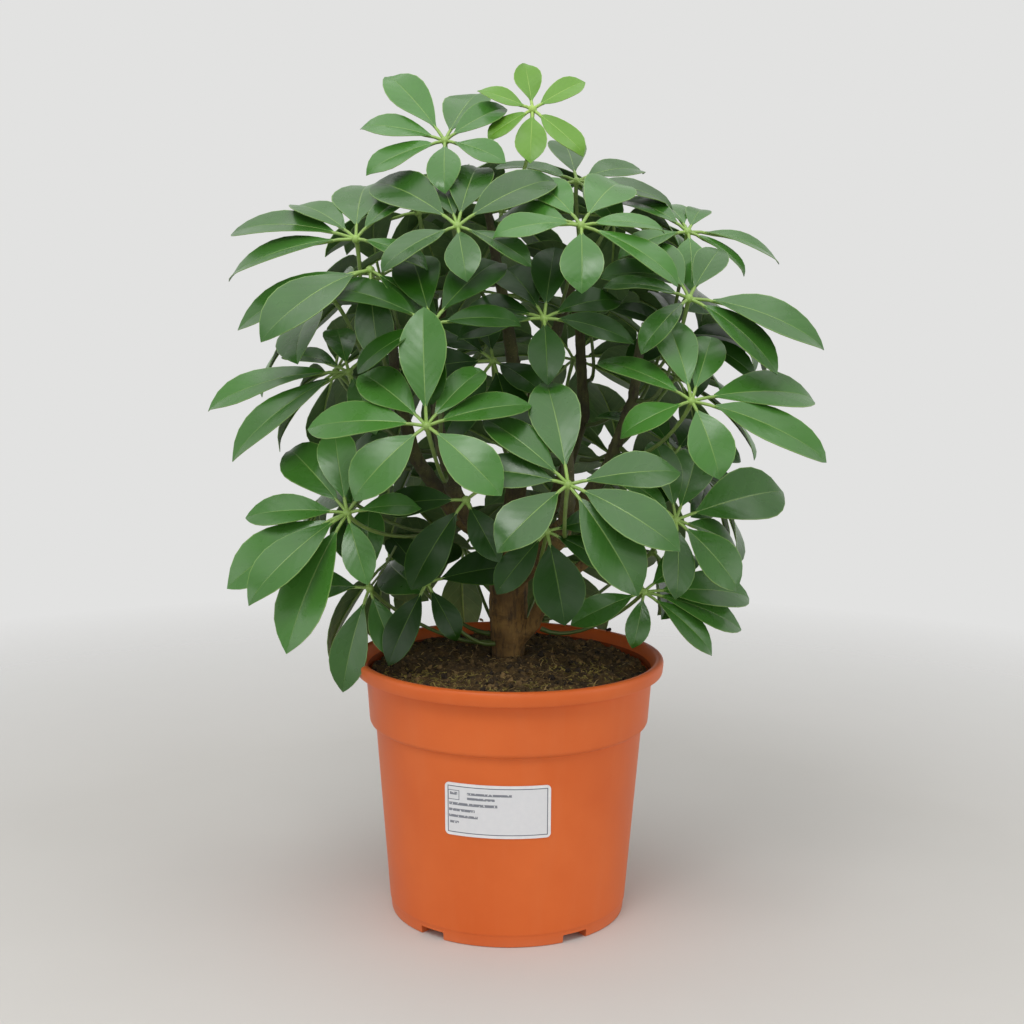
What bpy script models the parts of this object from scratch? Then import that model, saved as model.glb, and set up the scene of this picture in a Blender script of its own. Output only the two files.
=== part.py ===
"""A potted umbrella plant: a bushy Schefflera on one short woody trunk, in a round nursery pot.

Metres, +Z up. The origin is on the floor under the middle of the pot, and -Y is the front.
Leaves are compound: each has a petiole and a hub with a whorl of stalked leaflets.
"""

import math
import random

import bmesh
import bpy
from mathutils import Vector
from mathutils.bvhtree import BVHTree

PLANT = "potted_umbrella_plant"
GAP = 0.0003
MERGE = 0.00001
UP = Vector((0, 0, 1))

# Pot: a tapered body, a wider collar over a step, and a rolled rim
ROUND = 32
POT_HEIGHT = 0.178
RIM_RADIUS = 0.1055
LIP_BOTTOM = 0.1682
COLLAR_TOP_RADIUS = 0.098
COLLAR_RADIUS = 0.0955
COLLAR_BOTTOM = 0.136
BODY_TOP_RADIUS = 0.0912
BODY_TOP = 0.130
BASE_RADIUS = 0.081
WALL = 0.0018
FLOOR = 0.005
FOOT_WIDTH = 0.009
PARTING_HEIGHT = 0.008
PARTING_STEP = 0.0004
NOTCHES = 5
NOTCH_WIDTH = 0.019
NOTCH_HEIGHT = 0.0056
NOTCH_TURN = -56
DRAINS = 5
DRAIN_RADIUS = 0.006
DRAIN_RING = 0.050

# Potting soil, mounded a little towards the trunk and higher at the back
SOIL_EDGE = 0.1675
SOIL_CROWN = 0.1735
SOIL_LUMP = 0.0012
SOIL_BACK_RISE = 0.0035

# Sticker on the front of the pot
LABEL_WIDTH = 0.070
LABEL_HEIGHT = 0.036
LABEL_CORNER = 0.003
LABEL_THICKNESS = 0.0005
LABEL_CENTRE = 0.095
LABEL_TURN = -4.5
LABEL_COLUMNS = 10

# Trunk and boughs: route and radius at each point
TRUNK_BOTTOM = 0.140
TRUNK_ROUTE = (
    (-0.0010, 0.018, TRUNK_BOTTOM, 0.0118),
    (-0.0010, 0.018, 0.176, 0.0115),
    (-0.0010, 0.017, 0.205, 0.0138),
    (-0.0005, 0.016, 0.240, 0.0128),
    (0.000, 0.016, 0.264, 0.0090),
)
BOUGHS = {
    "crown": (
        (-0.001, 0.016, 0.248, 0.0090),
        (0.006, 0.018, 0.310, 0.0070),
        (0.002, 0.012, 0.370, 0.0055),
        (-0.008, 0.000, 0.430, 0.0042),
        (-0.018, -0.008, 0.485, 0.0030),
    ),
    "crown_right": (
        (0.005, 0.016, 0.328, 0.0050),
        (0.022, 0.008, 0.375, 0.0045),
        (0.038, -0.006, 0.425, 0.0038),
        (0.046, -0.012, 0.462, 0.0030),
    ),
    "front_left": (
        (-0.004, 0.014, 0.232, 0.0075),
        (-0.022, -0.010, 0.264, 0.0065),
        (-0.038, -0.042, 0.298, 0.0055),
        (-0.046, -0.068, 0.340, 0.0045),
        (-0.046, -0.076, 0.385, 0.0035),
    ),
    "front_right": (
        (0.002, 0.014, 0.226, 0.0075),
        (0.020, -0.014, 0.246, 0.0065),
        (0.034, -0.050, 0.268, 0.0058),
        (0.036, -0.086, 0.296, 0.0052),
        (0.034, -0.100, 0.340, 0.0040),
    ),
    "right": (
        (0.002, 0.016, 0.236, 0.0075),
        (0.036, 0.010, 0.266, 0.0062),
        (0.064, -0.008, 0.306, 0.0052),
        (0.080, -0.024, 0.356, 0.0042),
        (0.084, -0.028, 0.400, 0.0032),
    ),
    "left": (
        (-0.004, 0.016, 0.244, 0.0075),
        (-0.038, 0.008, 0.274, 0.0062),
        (-0.064, -0.010, 0.314, 0.0052),
        (-0.076, -0.024, 0.364, 0.0042),
        (-0.078, -0.032, 0.404, 0.0032),
    ),
    "back_left": (
        (-0.004, 0.020, 0.230, 0.0072),
        (-0.034, 0.050, 0.268, 0.0060),
        (-0.054, 0.076, 0.324, 0.0050),
        (-0.054, 0.082, 0.386, 0.0040),
        (-0.044, 0.072, 0.436, 0.0030),
    ),
    "back_right": (
        (0.002, 0.020, 0.238, 0.0072),
        (0.032, 0.054, 0.278, 0.0060),
        (0.052, 0.076, 0.336, 0.0050),
        (0.048, 0.080, 0.398, 0.0040),
        (0.036, 0.066, 0.446, 0.0030),
    ),
    "side_stem": (
        (0.005, 0.014, 0.1825, 0.0058),
        (0.016, 0.008, 0.197, 0.0056),
        (0.022, 0.003, 0.213, 0.0050),
        (0.037, -0.006, 0.232, 0.0044),
        (0.058, -0.022, 0.252, 0.0036),
    ),
}
TRUNK_SIDES = 10
BOUGH_SIDES = 6

# Leaves
PETIOLE_RADIUS = 0.0014
PETIOLE_POINTS = 5
HUB_RADIUS = 0.0031
ROOT_DISTANCE = 0.0012
ROOT_SIZE = 0.6
STALK_SHARE = 0.16
STALK_HALF_WIDTH = 0.0010
STALK_THICKNESS = 0.0018
BLADE_THICKNESS = 0.0013
BLADE_HALF_WIDTH = 0.245
BLADE_FOLD = 0.20
BLADE_STATIONS = (0.34, 0.74)
CLEAR = 0.0005
HUB_GUARD = 0.0055

# Name, hub, facing (turn to the right of the front, rise), lift and droop of the leaflets
# and how much they roll to the sky, and each leaflet's turn round the hub, its reach from
# it, and its width if that isn't the usual
VISIBLE_LEAVES = (
    ("leaf_front", (0.034, -0.140, 0.314), (5, 36), (14, 38, 0.30),
     ((97, 0.077), (136, 0.069), (165, 0.060), (223, 0.062, 1.25), (300, 0.080, 1.05),
      (322, 0.080, 1.05), (8, 0.071, 1.10))),
    ("leaf_front_left", (-0.050, -0.130, 0.347), (-5, 38), (12, 40, 0.30),
     ((177, 0.077, 1.15), (227, 0.064, 1.30), (318, 0.065, 1.15), (20, 0.067, 1.10),
      (94, 0.074), (136, 0.066), (55, 0.056))),
    ("leaf_front_right", (0.111, -0.090, 0.360), (5, 40), (12, 42, 0.50),
     ((203, 0.052, 1.30), (144, 0.070), (100, 0.066), (70, 0.060), (11, 0.092),
      (336, 0.094, 0.90), (285, 0.055, 1.30))),
    ("leaf_front_upper", (-0.048, -0.110, 0.406), (-5, 44), (10, 42, 0.35),
     ((14, 0.058, 1.05), (60, 0.077), (107, 0.075), (153, 0.085), (205, 0.056, 1.20),
      (272, 0.056))),
    ("leaf_young", (0.012, -0.015, 0.541), (0, 30), (12, 20, 0.35),
     ((98, 0.037, 1.20), (33, 0.041, 1.15), (316, 0.047, 1.15), (268, 0.041, 1.25),
      (218, 0.037, 1.15), (162, 0.038, 1.10))),
    ("leaf_top_left", (-0.044, -0.025, 0.520), (-5, 45), (16, 30, 0.35),
     ((127, 0.074, 0.85), (168, 0.059), (210, 0.057, 1.10), (275, 0.048, 1.15),
      (332, 0.047, 1.10), (37, 0.049, 1.15), (74, 0.063, 1.20))),
    ("leaf_crown_left", (-0.034, -0.075, 0.465), (-5, 45), (12, 38, 0.35),
     ((139, 0.083), (108, 0.068), (84, 0.070), (42, 0.081), (218, 0.058, 1.20),
      (282, 0.044, 1.25), (335, 0.054))),
    ("leaf_crown_right", (0.042, -0.075, 0.466), (5, 48), (8, 42, 0.35),
     ((267, 0.049, 1.35), (330, 0.073, 0.95), (8, 0.058), (63, 0.082), (115, 0.072),
      (152, 0.062), (190, 0.058))),
    ("leaf_crown_back", (0.042, 0.010, 0.497), (10, 60), (12, 34, 0.35),
     ((90, 0.064), (30, 0.064), (340, 0.068), (290, 0.056), (150, 0.060), (205, 0.056))),
    ("leaf_left_upper", (-0.098, -0.060, 0.457), (-15, 50), (14, 40, 0.90),
     ((166, 0.105, 0.80), (196, 0.090), (103, 0.088, 1.10), (143, 0.070), (60, 0.062),
      (340, 0.056))),
    ("leaf_left_shoulder", (-0.088, -0.072, 0.438), (-15, 42), (12, 44, 0.80),
     ((205, 0.095, 0.90), (238, 0.092, 1.05), (282, 0.060), (330, 0.056))),
    ("leaf_left_middle", (-0.106, -0.030, 0.372), (-10, 50), (12, 44, 1.00),
     ((194, 0.101, 0.80), (229, 0.100, 0.85), (209, 0.080, 0.90), (155, 0.060),
      (112, 0.054), (60, 0.054), (300, 0.054))),
    ("leaf_left_lower", (-0.101, -0.094, 0.289), (-10, 35), (12, 42, 0.45),
     ((214, 0.091, 0.90), (252, 0.097, 0.90), (235, 0.088, 0.90), (134, 0.077),
      (184, 0.068), (106, 0.062), (292, 0.050), (15, 0.048), (60, 0.052))),
    ("leaf_heart", (0.020, -0.068, 0.409), (0, 48), (10, 40, 0.35),
     ((272, 0.056), (114, 0.068), (75, 0.064), (345, 0.060), (192, 0.058), (30, 0.060),
      (153, 0.064))),
    ("leaf_right_top", (0.114, -0.015, 0.464), (15, 55), (10, 46, 0.90),
     ((349, 0.070, 0.80), (318, 0.049, 0.85), (260, 0.048, 1.20), (92, 0.058), (128, 0.062),
      (58, 0.042), (195, 0.054))),
    ("leaf_right_upper", (0.111, -0.060, 0.422), (10, 50), (12, 44, 0.60),
     ((338, 0.094, 1.05), (312, 0.076, 1.05), (55, 0.052), (152, 0.060), (100, 0.060),
      (225, 0.054))),
    ("leaf_right_lower", (0.106, -0.060, 0.281), (15, 35), (12, 40, 0.35),
     ((16, 0.093, 1.05), (306, 0.062, 1.25), (342, 0.052, 1.15), (62, 0.070), (92, 0.064),
      (130, 0.054), (262, 0.054))),
    ("leaf_low_right", (0.090, -0.015, 0.225), (15, 35), (8, 42, 0.45),
     ((252, 0.041), (318, 0.067, 0.80), (343, 0.082, 0.85), (359, 0.086), (197, 0.056),
      (34, 0.058), (100, 0.052))),
    ("leaf_low_left", (-0.094, -0.020, 0.227), (-10, 30), (6, 40, 0.35),
     ((257, 0.074, 0.90), (118, 0.068), (96, 0.060), (178, 0.062), (296, 0.052))),
    ("leaf_low_middle", (-0.055, -0.030, 0.233), (0, 30), (8, 40, 0.35),
     ((76, 0.064, 1.10), (25, 0.066, 1.10), (245, 0.062), (300, 0.045), (125, 0.050))),
    ("leaf_under_front", (0.023, -0.085, 0.277), (0, 30), (6, 36, 0.35),
     ((281, 0.062, 1.30), (335, 0.050), (230, 0.052), (190, 0.048), (20, 0.050))),
    ("leaf_shade_left", (-0.028, -0.075, 0.295), (-10, 30), (6, 38, 0.35),
     ((240, 0.068), (184, 0.058), (124, 0.062), (42, 0.050), (302, 0.050))),
    ("leaf_right_inner", (0.109, -0.010, 0.317), (25, 50), (10, 40, 0.35),
     ((97, 0.062), (44, 0.060), (0, 0.058), (320, 0.056), (227, 0.060), (170, 0.056))),
    ("leaf_inner", (-0.012, -0.030, 0.380), (0, 38), (6, 36, 0.35),
     ((238, 0.066, 1.20), (188, 0.064, 1.10), (140, 0.060), (92, 0.056), (330, 0.062, 1.15),
      (285, 0.064, 1.20))),
    ("leaf_right_shade", (0.113, 0.015, 0.395), (30, 50), (10, 42, 0.35),
     ((0, 0.066), (325, 0.062), (123, 0.058), (75, 0.064), (200, 0.054), (260, 0.054))),
)

# A withered leaflet's bare stalk, from the hub of the leaf that it hangs on
BARE_STALK_LEAF = "leaf_low_left"
BARE_STALK_RADIUS = 0.0009
BARE_STALK_ROUTE = (
    (-0.094, -0.020, 0.227),
    (-0.088, -0.021, 0.235),
    (-0.084, -0.021, 0.241),
    (-0.076, -0.021, 0.256),
)

# Rows of leaves round the back: hub height, distance from the trunk, rise, and the
# row's first turn, its step and how many leaves it has
BACK_ROWS = (
    (0.236, 0.100, 22, 112, 46, 4),
    (0.298, 0.124, 30, 92, 45, 5),
    (0.362, 0.130, 38, 114, 46, 4),
    (0.422, 0.118, 44, 98, 44, 5),
    (0.474, 0.082, 52, 124, 56, 3),
)
BACK_LEAFLETS = 7
BACK_REACH = 0.080
BACK_BEND = (12, 42, 0.35)


def clear_scene():
    for obj in list(bpy.data.objects):
        bpy.data.objects.remove(obj)


def new_collection(name):
    collection = bpy.data.collections.new(name)
    bpy.context.scene.collection.children.link(collection)
    return collection


def new_object(name, mesh, collection):
    obj = bpy.data.objects.new(name, mesh)
    collection.objects.link(obj)
    return obj


def new_material(name, colour, roughness):
    material = bpy.data.materials.new(name)
    material.use_nodes = True
    shader = material.node_tree.nodes["Principled BSDF"]
    shader.inputs["Base Color"].default_value = (*colour, 1)
    shader.inputs["Roughness"].default_value = roughness
    shader.inputs["Metallic"].default_value = 0
    return material


def evaluated_mesh(obj):
    graph = bpy.context.evaluated_depsgraph_get()
    return bpy.data.meshes.new_from_object(obj.evaluated_get(graph))


def join_up(obj, collection):
    """Unites obj with every solid in the collection, then removes those solids."""
    union = obj.modifiers.new("Union", "BOOLEAN")
    union.operation = "UNION"
    union.operand_type = "COLLECTION"
    union.collection = collection
    union.solver = "MANIFOLD"
    joined = evaluated_mesh(obj)
    obj.modifiers.clear()
    obj.data = joined
    for solid in list(collection.objects):
        bpy.data.objects.remove(solid)


def cut_with(obj, cutter):
    cut = obj.modifiers.new("Cut " + cutter.name, "BOOLEAN")
    cut.operation = "DIFFERENCE"
    cut.object = cutter
    cutter.hide_render = True
    cutter.display_type = "WIRE"


def turned(name, profile, collection):
    """A solid turned round the Z axis from (radius, height) points."""
    mesh = bpy.data.meshes.new(name)
    points = [(radius, 0, height) for radius, height in profile]
    edges = [(i, i + 1) for i in range(len(points) - 1)]
    mesh.from_pydata(points, edges, [])
    obj = new_object(name, mesh, collection)
    screw = obj.modifiers.new("Turn", "SCREW")
    screw.steps = ROUND
    screw.render_steps = ROUND
    screw.use_merge_vertices = True
    screw.merge_threshold = MERGE
    screw.use_smooth_shade = True
    return obj


def body_radius(height):
    return BASE_RADIUS + (BODY_TOP_RADIUS - BASE_RADIUS) * height / BODY_TOP


def arc(centre, radius, start, end, steps):
    """Points of an arc in (radius, height), turning from start to end degrees."""
    for i in range(steps + 1):
        angle = math.radians(start + (end - start) * i / steps)
        yield centre[0] + radius * math.cos(angle), centre[1] + radius * math.sin(angle)


def pot_profile():
    rim = 0.0026
    foot = 0.0012
    inner_base = body_radius(FLOOR + WALL) - WALL
    yield 0, FLOOR + WALL
    yield inner_base, FLOOR + WALL
    yield BODY_TOP_RADIUS - WALL, BODY_TOP + 0.0015
    yield COLLAR_RADIUS - WALL, COLLAR_BOTTOM + 0.0015
    yield COLLAR_TOP_RADIUS - WALL, POT_HEIGHT - 0.008
    yield 0.0995, POT_HEIGHT - 0.0010
    yield from arc((RIM_RADIUS - rim, POT_HEIGHT - rim), rim, 90, 0, 2)
    yield RIM_RADIUS - 0.0005, LIP_BOTTOM + 0.0008
    yield RIM_RADIUS - 0.0014, LIP_BOTTOM
    yield COLLAR_TOP_RADIUS, LIP_BOTTOM - 0.0012
    yield COLLAR_RADIUS, COLLAR_BOTTOM
    yield COLLAR_RADIUS - 0.0010, COLLAR_BOTTOM - 0.0035
    yield BODY_TOP_RADIUS, BODY_TOP
    yield body_radius(PARTING_HEIGHT), PARTING_HEIGHT + PARTING_STEP
    yield body_radius(PARTING_HEIGHT) - PARTING_STEP, PARTING_HEIGHT
    yield BASE_RADIUS - PARTING_STEP, foot
    yield BASE_RADIUS - foot, 0
    yield BASE_RADIUS - FOOT_WIDTH, 0
    yield BASE_RADIUS - FOOT_WIDTH - 0.001, FLOOR
    yield 0, FLOOR


def notch_cutter(index, collection):
    """A slot through the foot, so that water can run out under the pot."""
    bpy.ops.mesh.primitive_cube_add(size=1)
    cutter = bpy.context.object
    cutter.name = f"notch_{index}"
    turn = math.radians(NOTCH_TURN + 360 * index / NOTCHES)
    distance = BASE_RADIUS - FOOT_WIDTH / 2
    cutter.scale = (FOOT_WIDTH + 0.008, NOTCH_WIDTH, 2 * NOTCH_HEIGHT)
    cutter.rotation_euler.z = turn
    cutter.location = (distance * math.cos(turn), distance * math.sin(turn), 0)
    move_to(cutter, collection)
    return cutter


def drain_cutter(index, collection):
    turn = math.radians(-90 + 360 * index / DRAINS)
    bpy.ops.mesh.primitive_cylinder_add(
        vertices=12,
        radius=DRAIN_RADIUS,
        depth=0.02,
        location=(DRAIN_RING * math.cos(turn), DRAIN_RING * math.sin(turn), FLOOR),
    )
    cutter = bpy.context.object
    cutter.name = f"drain_{index}"
    move_to(cutter, collection)
    return cutter


def move_to(obj, collection):
    for other in list(obj.users_collection):
        other.objects.unlink(obj)
    collection.objects.link(obj)


def make_pot(parts, cutters):
    pot = turned("pot", list(pot_profile()), parts)
    pot.data.materials.append(new_material("terracotta plastic", (0.72, 0.20, 0.06), 0.42))
    for index in range(NOTCHES):
        cut_with(pot, notch_cutter(index, cutters))
    for index in range(DRAINS):
        cut_with(pot, drain_cutter(index, cutters))
    return pot


def soil_profile():
    inner_base = body_radius(FLOOR + WALL) - WALL
    yield 0, SOIL_CROWN
    yield 0.042, SOIL_CROWN - 0.0012
    yield 0.070, SOIL_CROWN - 0.0032
    yield COLLAR_TOP_RADIUS - WALL - 2 * GAP - 0.0008, SOIL_EDGE
    yield COLLAR_RADIUS - WALL - 2 * GAP, COLLAR_BOTTOM + 0.002
    yield BODY_TOP_RADIUS - WALL - 2 * GAP, BODY_TOP + 0.0017
    yield inner_base - 2 * GAP, FLOOR + WALL + GAP
    yield 0, FLOOR + WALL + GAP


def make_soil(parts, cutters):
    soil = turned("soil", list(soil_profile()), parts)
    soil.data = evaluated_mesh(soil)
    soil.modifiers.clear()
    for vertex in soil.data.vertices:
        x, y, z = vertex.co
        if z > SOIL_EDGE - 0.0002:
            vertex.co.z += SOIL_BACK_RISE * min(max((y - 0.02) / 0.06, 0), 1)
        if z > SOIL_EDGE + 0.0002:
            lump = math.sin(95 * x + 1) * math.cos(110 * y) + math.sin(210 * x * 1.3 + 170 * y)
            vertex.co.z += SOIL_LUMP * lump / 2
    soil.data.materials.append(new_material("potting soil", (0.045, 0.030, 0.018), 0.95))
    x, y, bottom, radius = TRUNK_ROUTE[0]
    bpy.ops.mesh.primitive_cylinder_add(
        vertices=2 * TRUNK_SIDES,
        radius=radius + 3 * GAP,
        depth=0.06,
        location=(x, y, bottom - GAP + 0.03),
    )
    hole = bpy.context.object
    hole.name = "trunk_hole"
    move_to(hole, cutters)
    cut_with(soil, hole)
    return soil


def make_label(parts):
    """A thin sticker with round corners, wrapped round the body of the pot."""
    mesh = bpy.data.meshes.new("label")
    shape = bmesh.new()
    corners = [
        shape.verts.new((x * LABEL_WIDTH / 2, 0, z * LABEL_HEIGHT / 2))
        for x, z in ((-1, -1), (1, -1), (1, 1), (-1, 1))
    ]
    shape.faces.new(corners)
    bmesh.ops.bevel(
        shape,
        geom=corners,
        offset=LABEL_CORNER,
        segments=3,
        profile=0.5,
        affect="VERTICES",
    )
    for column in range(1, LABEL_COLUMNS):
        x = LABEL_WIDTH * (column / LABEL_COLUMNS - 0.5)
        everything = shape.verts[:] + shape.edges[:] + shape.faces[:]
        bmesh.ops.bisect_plane(shape, geom=everything, plane_co=(x, 0, 0), plane_no=(1, 0, 0))
    for vertex in shape.verts:
        height = LABEL_CENTRE + vertex.co.z
        radius = body_radius(height) + GAP
        turn = math.radians(LABEL_TURN - 90) + vertex.co.x / radius
        vertex.co = (radius * math.cos(turn), radius * math.sin(turn), height)
    shape.to_mesh(mesh)
    shape.free()
    label = new_object("label", mesh, parts)
    mesh.materials.append(new_material("white sticker", (0.86, 0.87, 0.88), 0.35))
    skin = label.modifiers.new("Thickness", "SOLIDIFY")
    skin.thickness = LABEL_THICKNESS
    skin.offset = 1
    return label


def smooth_route(points, steps):
    """Points of a smooth curve through the given ones, each a Vector of any length."""
    points = [Vector(point) for point in points]
    first = 2 * points[0] - points[1]
    last = 2 * points[-1] - points[-2]
    padded = [first, *points, last]
    for a, b, c, d in zip(padded, padded[1:], padded[2:], padded[3:]):
        for step in range(steps):
            t = step / steps
            yield 0.5 * (
                2 * b + (c - a) * t + (2 * a - 5 * b + 4 * c - d) * t**2
                + (3 * b - a - 3 * c + d) * t**3
            )
    yield points[-1]


def tube(name, route, sides, collection):
    """A closed tube along (x, y, z, radius) points."""
    curve = bpy.data.curves.new(name, "CURVE")
    curve.dimensions = "3D"
    curve.bevel_depth = 1
    curve.bevel_resolution = sides // 2 - 2
    curve.use_fill_caps = True
    spline = curve.splines.new("POLY")
    spline.points.add(len(route) - 1)
    for point, (x, y, z, radius) in zip(spline.points, route):
        point.co = (x, y, z, 1)
        point.radius = radius
    guide = new_object(name + "_guide", curve, collection)
    mesh = evaluated_mesh(guide)
    bpy.data.objects.remove(guide)
    welded = bmesh.new()
    welded.from_mesh(mesh)
    bmesh.ops.remove_doubles(welded, verts=welded.verts, dist=MERGE)
    bmesh.ops.recalc_face_normals(welded, faces=welded.faces)
    welded.to_mesh(mesh)
    welded.free()
    return new_object(name, mesh, collection)


def make_trunk(parts, spares):
    """The trunk with its side stem and boughs, grown as one."""
    trunk = tube("trunk", list(smooth_route(TRUNK_ROUTE, 2)), TRUNK_SIDES, parts)
    for name, route in BOUGHS.items():
        tube(name, route, BOUGH_SIDES, spares)
    join_up(trunk, spares)
    trunk.data.materials.append(new_material("bark", (0.20, 0.13, 0.07), 0.85))
    return trunk


def wood_points():
    """Places along the trunk and boughs that a leaf can grow from: point, radius, direction."""
    routes = [TRUNK_ROUTE[1:], *BOUGHS.values()]
    for route in routes:
        line = list(smooth_route(route, 8))
        for here, after in zip(line[2:], line[3:]):
            yield here.xyz, here.w, (after.xyz - here.xyz).normalized()


def facing_frame(turn, rise):
    """Outward, rightward and upward directions of a whorl."""
    turn, rise = math.radians(turn), math.radians(rise)
    outward = Vector(
        (math.sin(turn) * math.cos(rise), -math.cos(turn) * math.cos(rise), math.sin(rise))
    )
    rightward = Vector((math.cos(turn), math.sin(turn), 0))
    return outward, rightward, outward.cross(rightward)


def petiole_route(hub, outward, wood):
    """A stalk that leaves the wood square to it and reaches the hub along outward."""
    point, radius, along = wood
    aim = hub - point
    side = (aim - along * aim.dot(along)).normalized()
    start = point + side * (radius + 2 * GAP)
    reach = (hub - start).length
    ends = start, start + side * reach * 0.35, hub - outward * reach * 0.30, hub
    for i in range(PETIOLE_POINTS):
        t = i / (PETIOLE_POINTS - 1)
        a, b, c, d = ends
        yield a * (1 - t) ** 3 + b * 3 * t * (1 - t) ** 2 + c * 3 * t**2 * (1 - t) + d * t**3


def with_radius(points, radius):
    return [(*point, radius) for point in points]


def overlaps(tree, others):
    return any(tree.overlap(other) for other in others)


def tree_of(mesh):
    mesh.calc_loop_triangles()
    points = [vertex.co.copy() for vertex in mesh.vertices]
    return BVHTree.FromPolygons(points, [tuple(t.vertices) for t in mesh.loop_triangles])


def pick_petiole(leaf, woods, taken, spares):
    """The nearest place on the wood from which the leaf's stalk runs clear."""
    hub = Vector(leaf["hub"])
    outward = facing_frame(*leaf["facing"])[0]
    wanted = hub - outward * 0.060 - UP * 0.022
    woods = sorted(woods, key=lambda wood: (wood[0] - wanted).length)
    for wood in woods:
        route = list(petiole_route(hub, outward, wood))
        probe = tube("probe", with_radius(route, PETIOLE_RADIUS + CLEAR), 4, spares)
        tree = tree_of(probe.data)
        bpy.data.objects.remove(probe)
        if not overlaps(tree, taken):
            return route
    raise ValueError(leaf["name"] + " has no clear place to grow from")


def leaflet_rings(leaf, turn, reach, wide, lift, roll, spare):
    """Four-pointed sections of a leaflet from its stalk's root to its blade, and its tip.

    spare is how much fatter than itself the leaflet is made, to test that it is clear.
    """
    outward, rightward, upward = facing_frame(*leaf["facing"])
    turn, lift = math.radians(turn), math.radians(lift)
    droop = math.radians(leaf["bend"][1])
    ahead = rightward * math.cos(turn) + upward * math.sin(turn)
    face = outward + UP * leaf["bend"][2] + outward.cross(ahead) * roll
    blade = reach * (1 - STALK_SHARE)
    shares = [STALK_SHARE, *(1 - (1 - station) * (1 - STALK_SHARE) for station in BLADE_STATIONS)]
    widths = [STALK_HALF_WIDTH]
    half = blade * BLADE_HALF_WIDTH * wide
    widths += [half * blade_outline(station) for station in BLADE_STATIONS]
    rings = []
    for share, half_width in zip([*shares, 1], [*widths, 0]):
        angle = lift - droop * share
        centre = Vector(leaf["hub"])
        centre += ahead * (reach * (math.sin(lift) - math.sin(angle)) / droop)
        centre += outward * (reach * (math.cos(angle) - math.cos(lift)) / droop)
        along = ahead * math.cos(angle) + outward * math.sin(angle)
        across = face.cross(along).normalized()
        above = along.cross(across)
        if not half_width:
            rings.append([centre + along * spare])
            continue
        stalk = share == STALK_SHARE
        thickness = (STALK_THICKNESS if stalk else BLADE_THICKNESS) / 2 + spare
        raised = above * (0 if stalk else BLADE_FOLD * half_width)
        wide = across * (half_width + spare)
        rings.append(
            [centre + wide + raised, centre + above * thickness,
             centre - wide + raised, centre - above * thickness]
        )
    end = (rings[0][0] + rings[0][2]) / 2
    back = (end - Vector(leaf["hub"])).normalized() * ROOT_DISTANCE
    root = [Vector(leaf["hub"]) + back + (point - end) * ROOT_SIZE for point in rings[0]]
    return [root, *rings]


def blade_outline(share):
    """Half the blade's width at this share of its length, out of 1 at its widest."""
    return math.sin(math.pi * share**1.27) ** 0.75


def loft(rings):
    """Closed mesh data through four-pointed rings that end in a tip."""
    points = [point for ring in rings for point in ring]
    faces = [(3, 2, 1, 0)]
    for start in range(0, 4 * (len(rings) - 2), 4):
        for side in range(4):
            after = (side + 1) % 4
            a, b, c, d = start + side, start + after, start + 4 + after, start + 4 + side
            if not start:
                faces.append((a, b, c, d))
            elif side % 2:
                faces += [(a, c, d), (a, b, c)]
            else:
                faces += [(a, b, d), (b, c, d)]
    last, tip = 4 * (len(rings) - 2), len(points) - 1
    faces += [(last + side, last + (side + 1) % 4, tip) for side in range(4)]
    return points, faces


def bends():
    """Ways to bend a leaflet clear, the least first: turn, lift, and share of its reach."""
    ways = [
        (turn, lift, share)
        for turn in (0, 8, -8, 16, -16)
        for lift in (0, 9, -9, 18, -18, 27, -27)
        for share in (1, 0.9, 0.8, 0.7)
    ]
    return sorted(ways, key=lambda way: 2 * abs(way[0]) + abs(way[1]) + 200 * (1 - way[2]))


def pick_leaflets(leaf, taken):
    """Rings of each leaflet, bent clear of what is already in place."""
    mine = []
    placed = []
    picked = []
    for index, (turn, reach, *width) in enumerate(leaf["leaflets"]):
        draw = random.Random(100 * leaf["number"] + index)
        roll = draw.uniform(-0.25, 0.25)
        lift = leaf["bend"][0] + draw.uniform(-5, 5)
        for more_turn, more_lift, share in bends():
            wide = width[0] if width else 1
            size = turn + more_turn, reach * share, wide, lift + more_lift, roll
            rings = leaflet_rings(leaf, *size, CLEAR)
            whole = BVHTree.FromPolygons(*loft(rings))
            blade = BVHTree.FromPolygons(*loft(rings[1:]))
            if not overlaps(whole, taken) and not overlaps(blade, mine):
                mine.append(blade)
                placed.append(whole)
                picked.append(leaflet_rings(leaf, *size, 0))
                break
    return picked, placed


def bare_stalk(points, spares):
    return tube("bare_stalk", with_radius(points, BARE_STALK_RADIUS), 4, spares)


def make_leaf(leaf, route, picked, materials, parts, spares):
    """The petiole, its hub and its leaflets, united in one solid."""
    petiole = tube(leaf["name"], with_radius(route, PETIOLE_RADIUS), 4, parts)
    bpy.ops.mesh.primitive_ico_sphere_add(
        subdivisions=1, radius=HUB_RADIUS, location=leaf["hub"]
    )
    move_to(bpy.context.object, spares)
    if leaf["name"] == BARE_STALK_LEAF:
        bare_stalk(BARE_STALK_ROUTE, spares)
    for rings in picked:
        points, faces = loft(rings)
        mesh = bpy.data.meshes.new("leaflet")
        mesh.from_pydata(points, [], faces)
        new_object("leaflet", mesh, spares)
    join_up(petiole, spares)
    petiole.data.materials.clear()
    petiole.data.materials.append(materials[leaf["name"] == "leaf_young"])
    return petiole


def visible_leaves():
    for name, hub, facing, bend, leaflets in VISIBLE_LEAVES:
        yield {"name": name, "hub": hub, "facing": facing, "bend": bend, "leaflets": leaflets}


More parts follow.
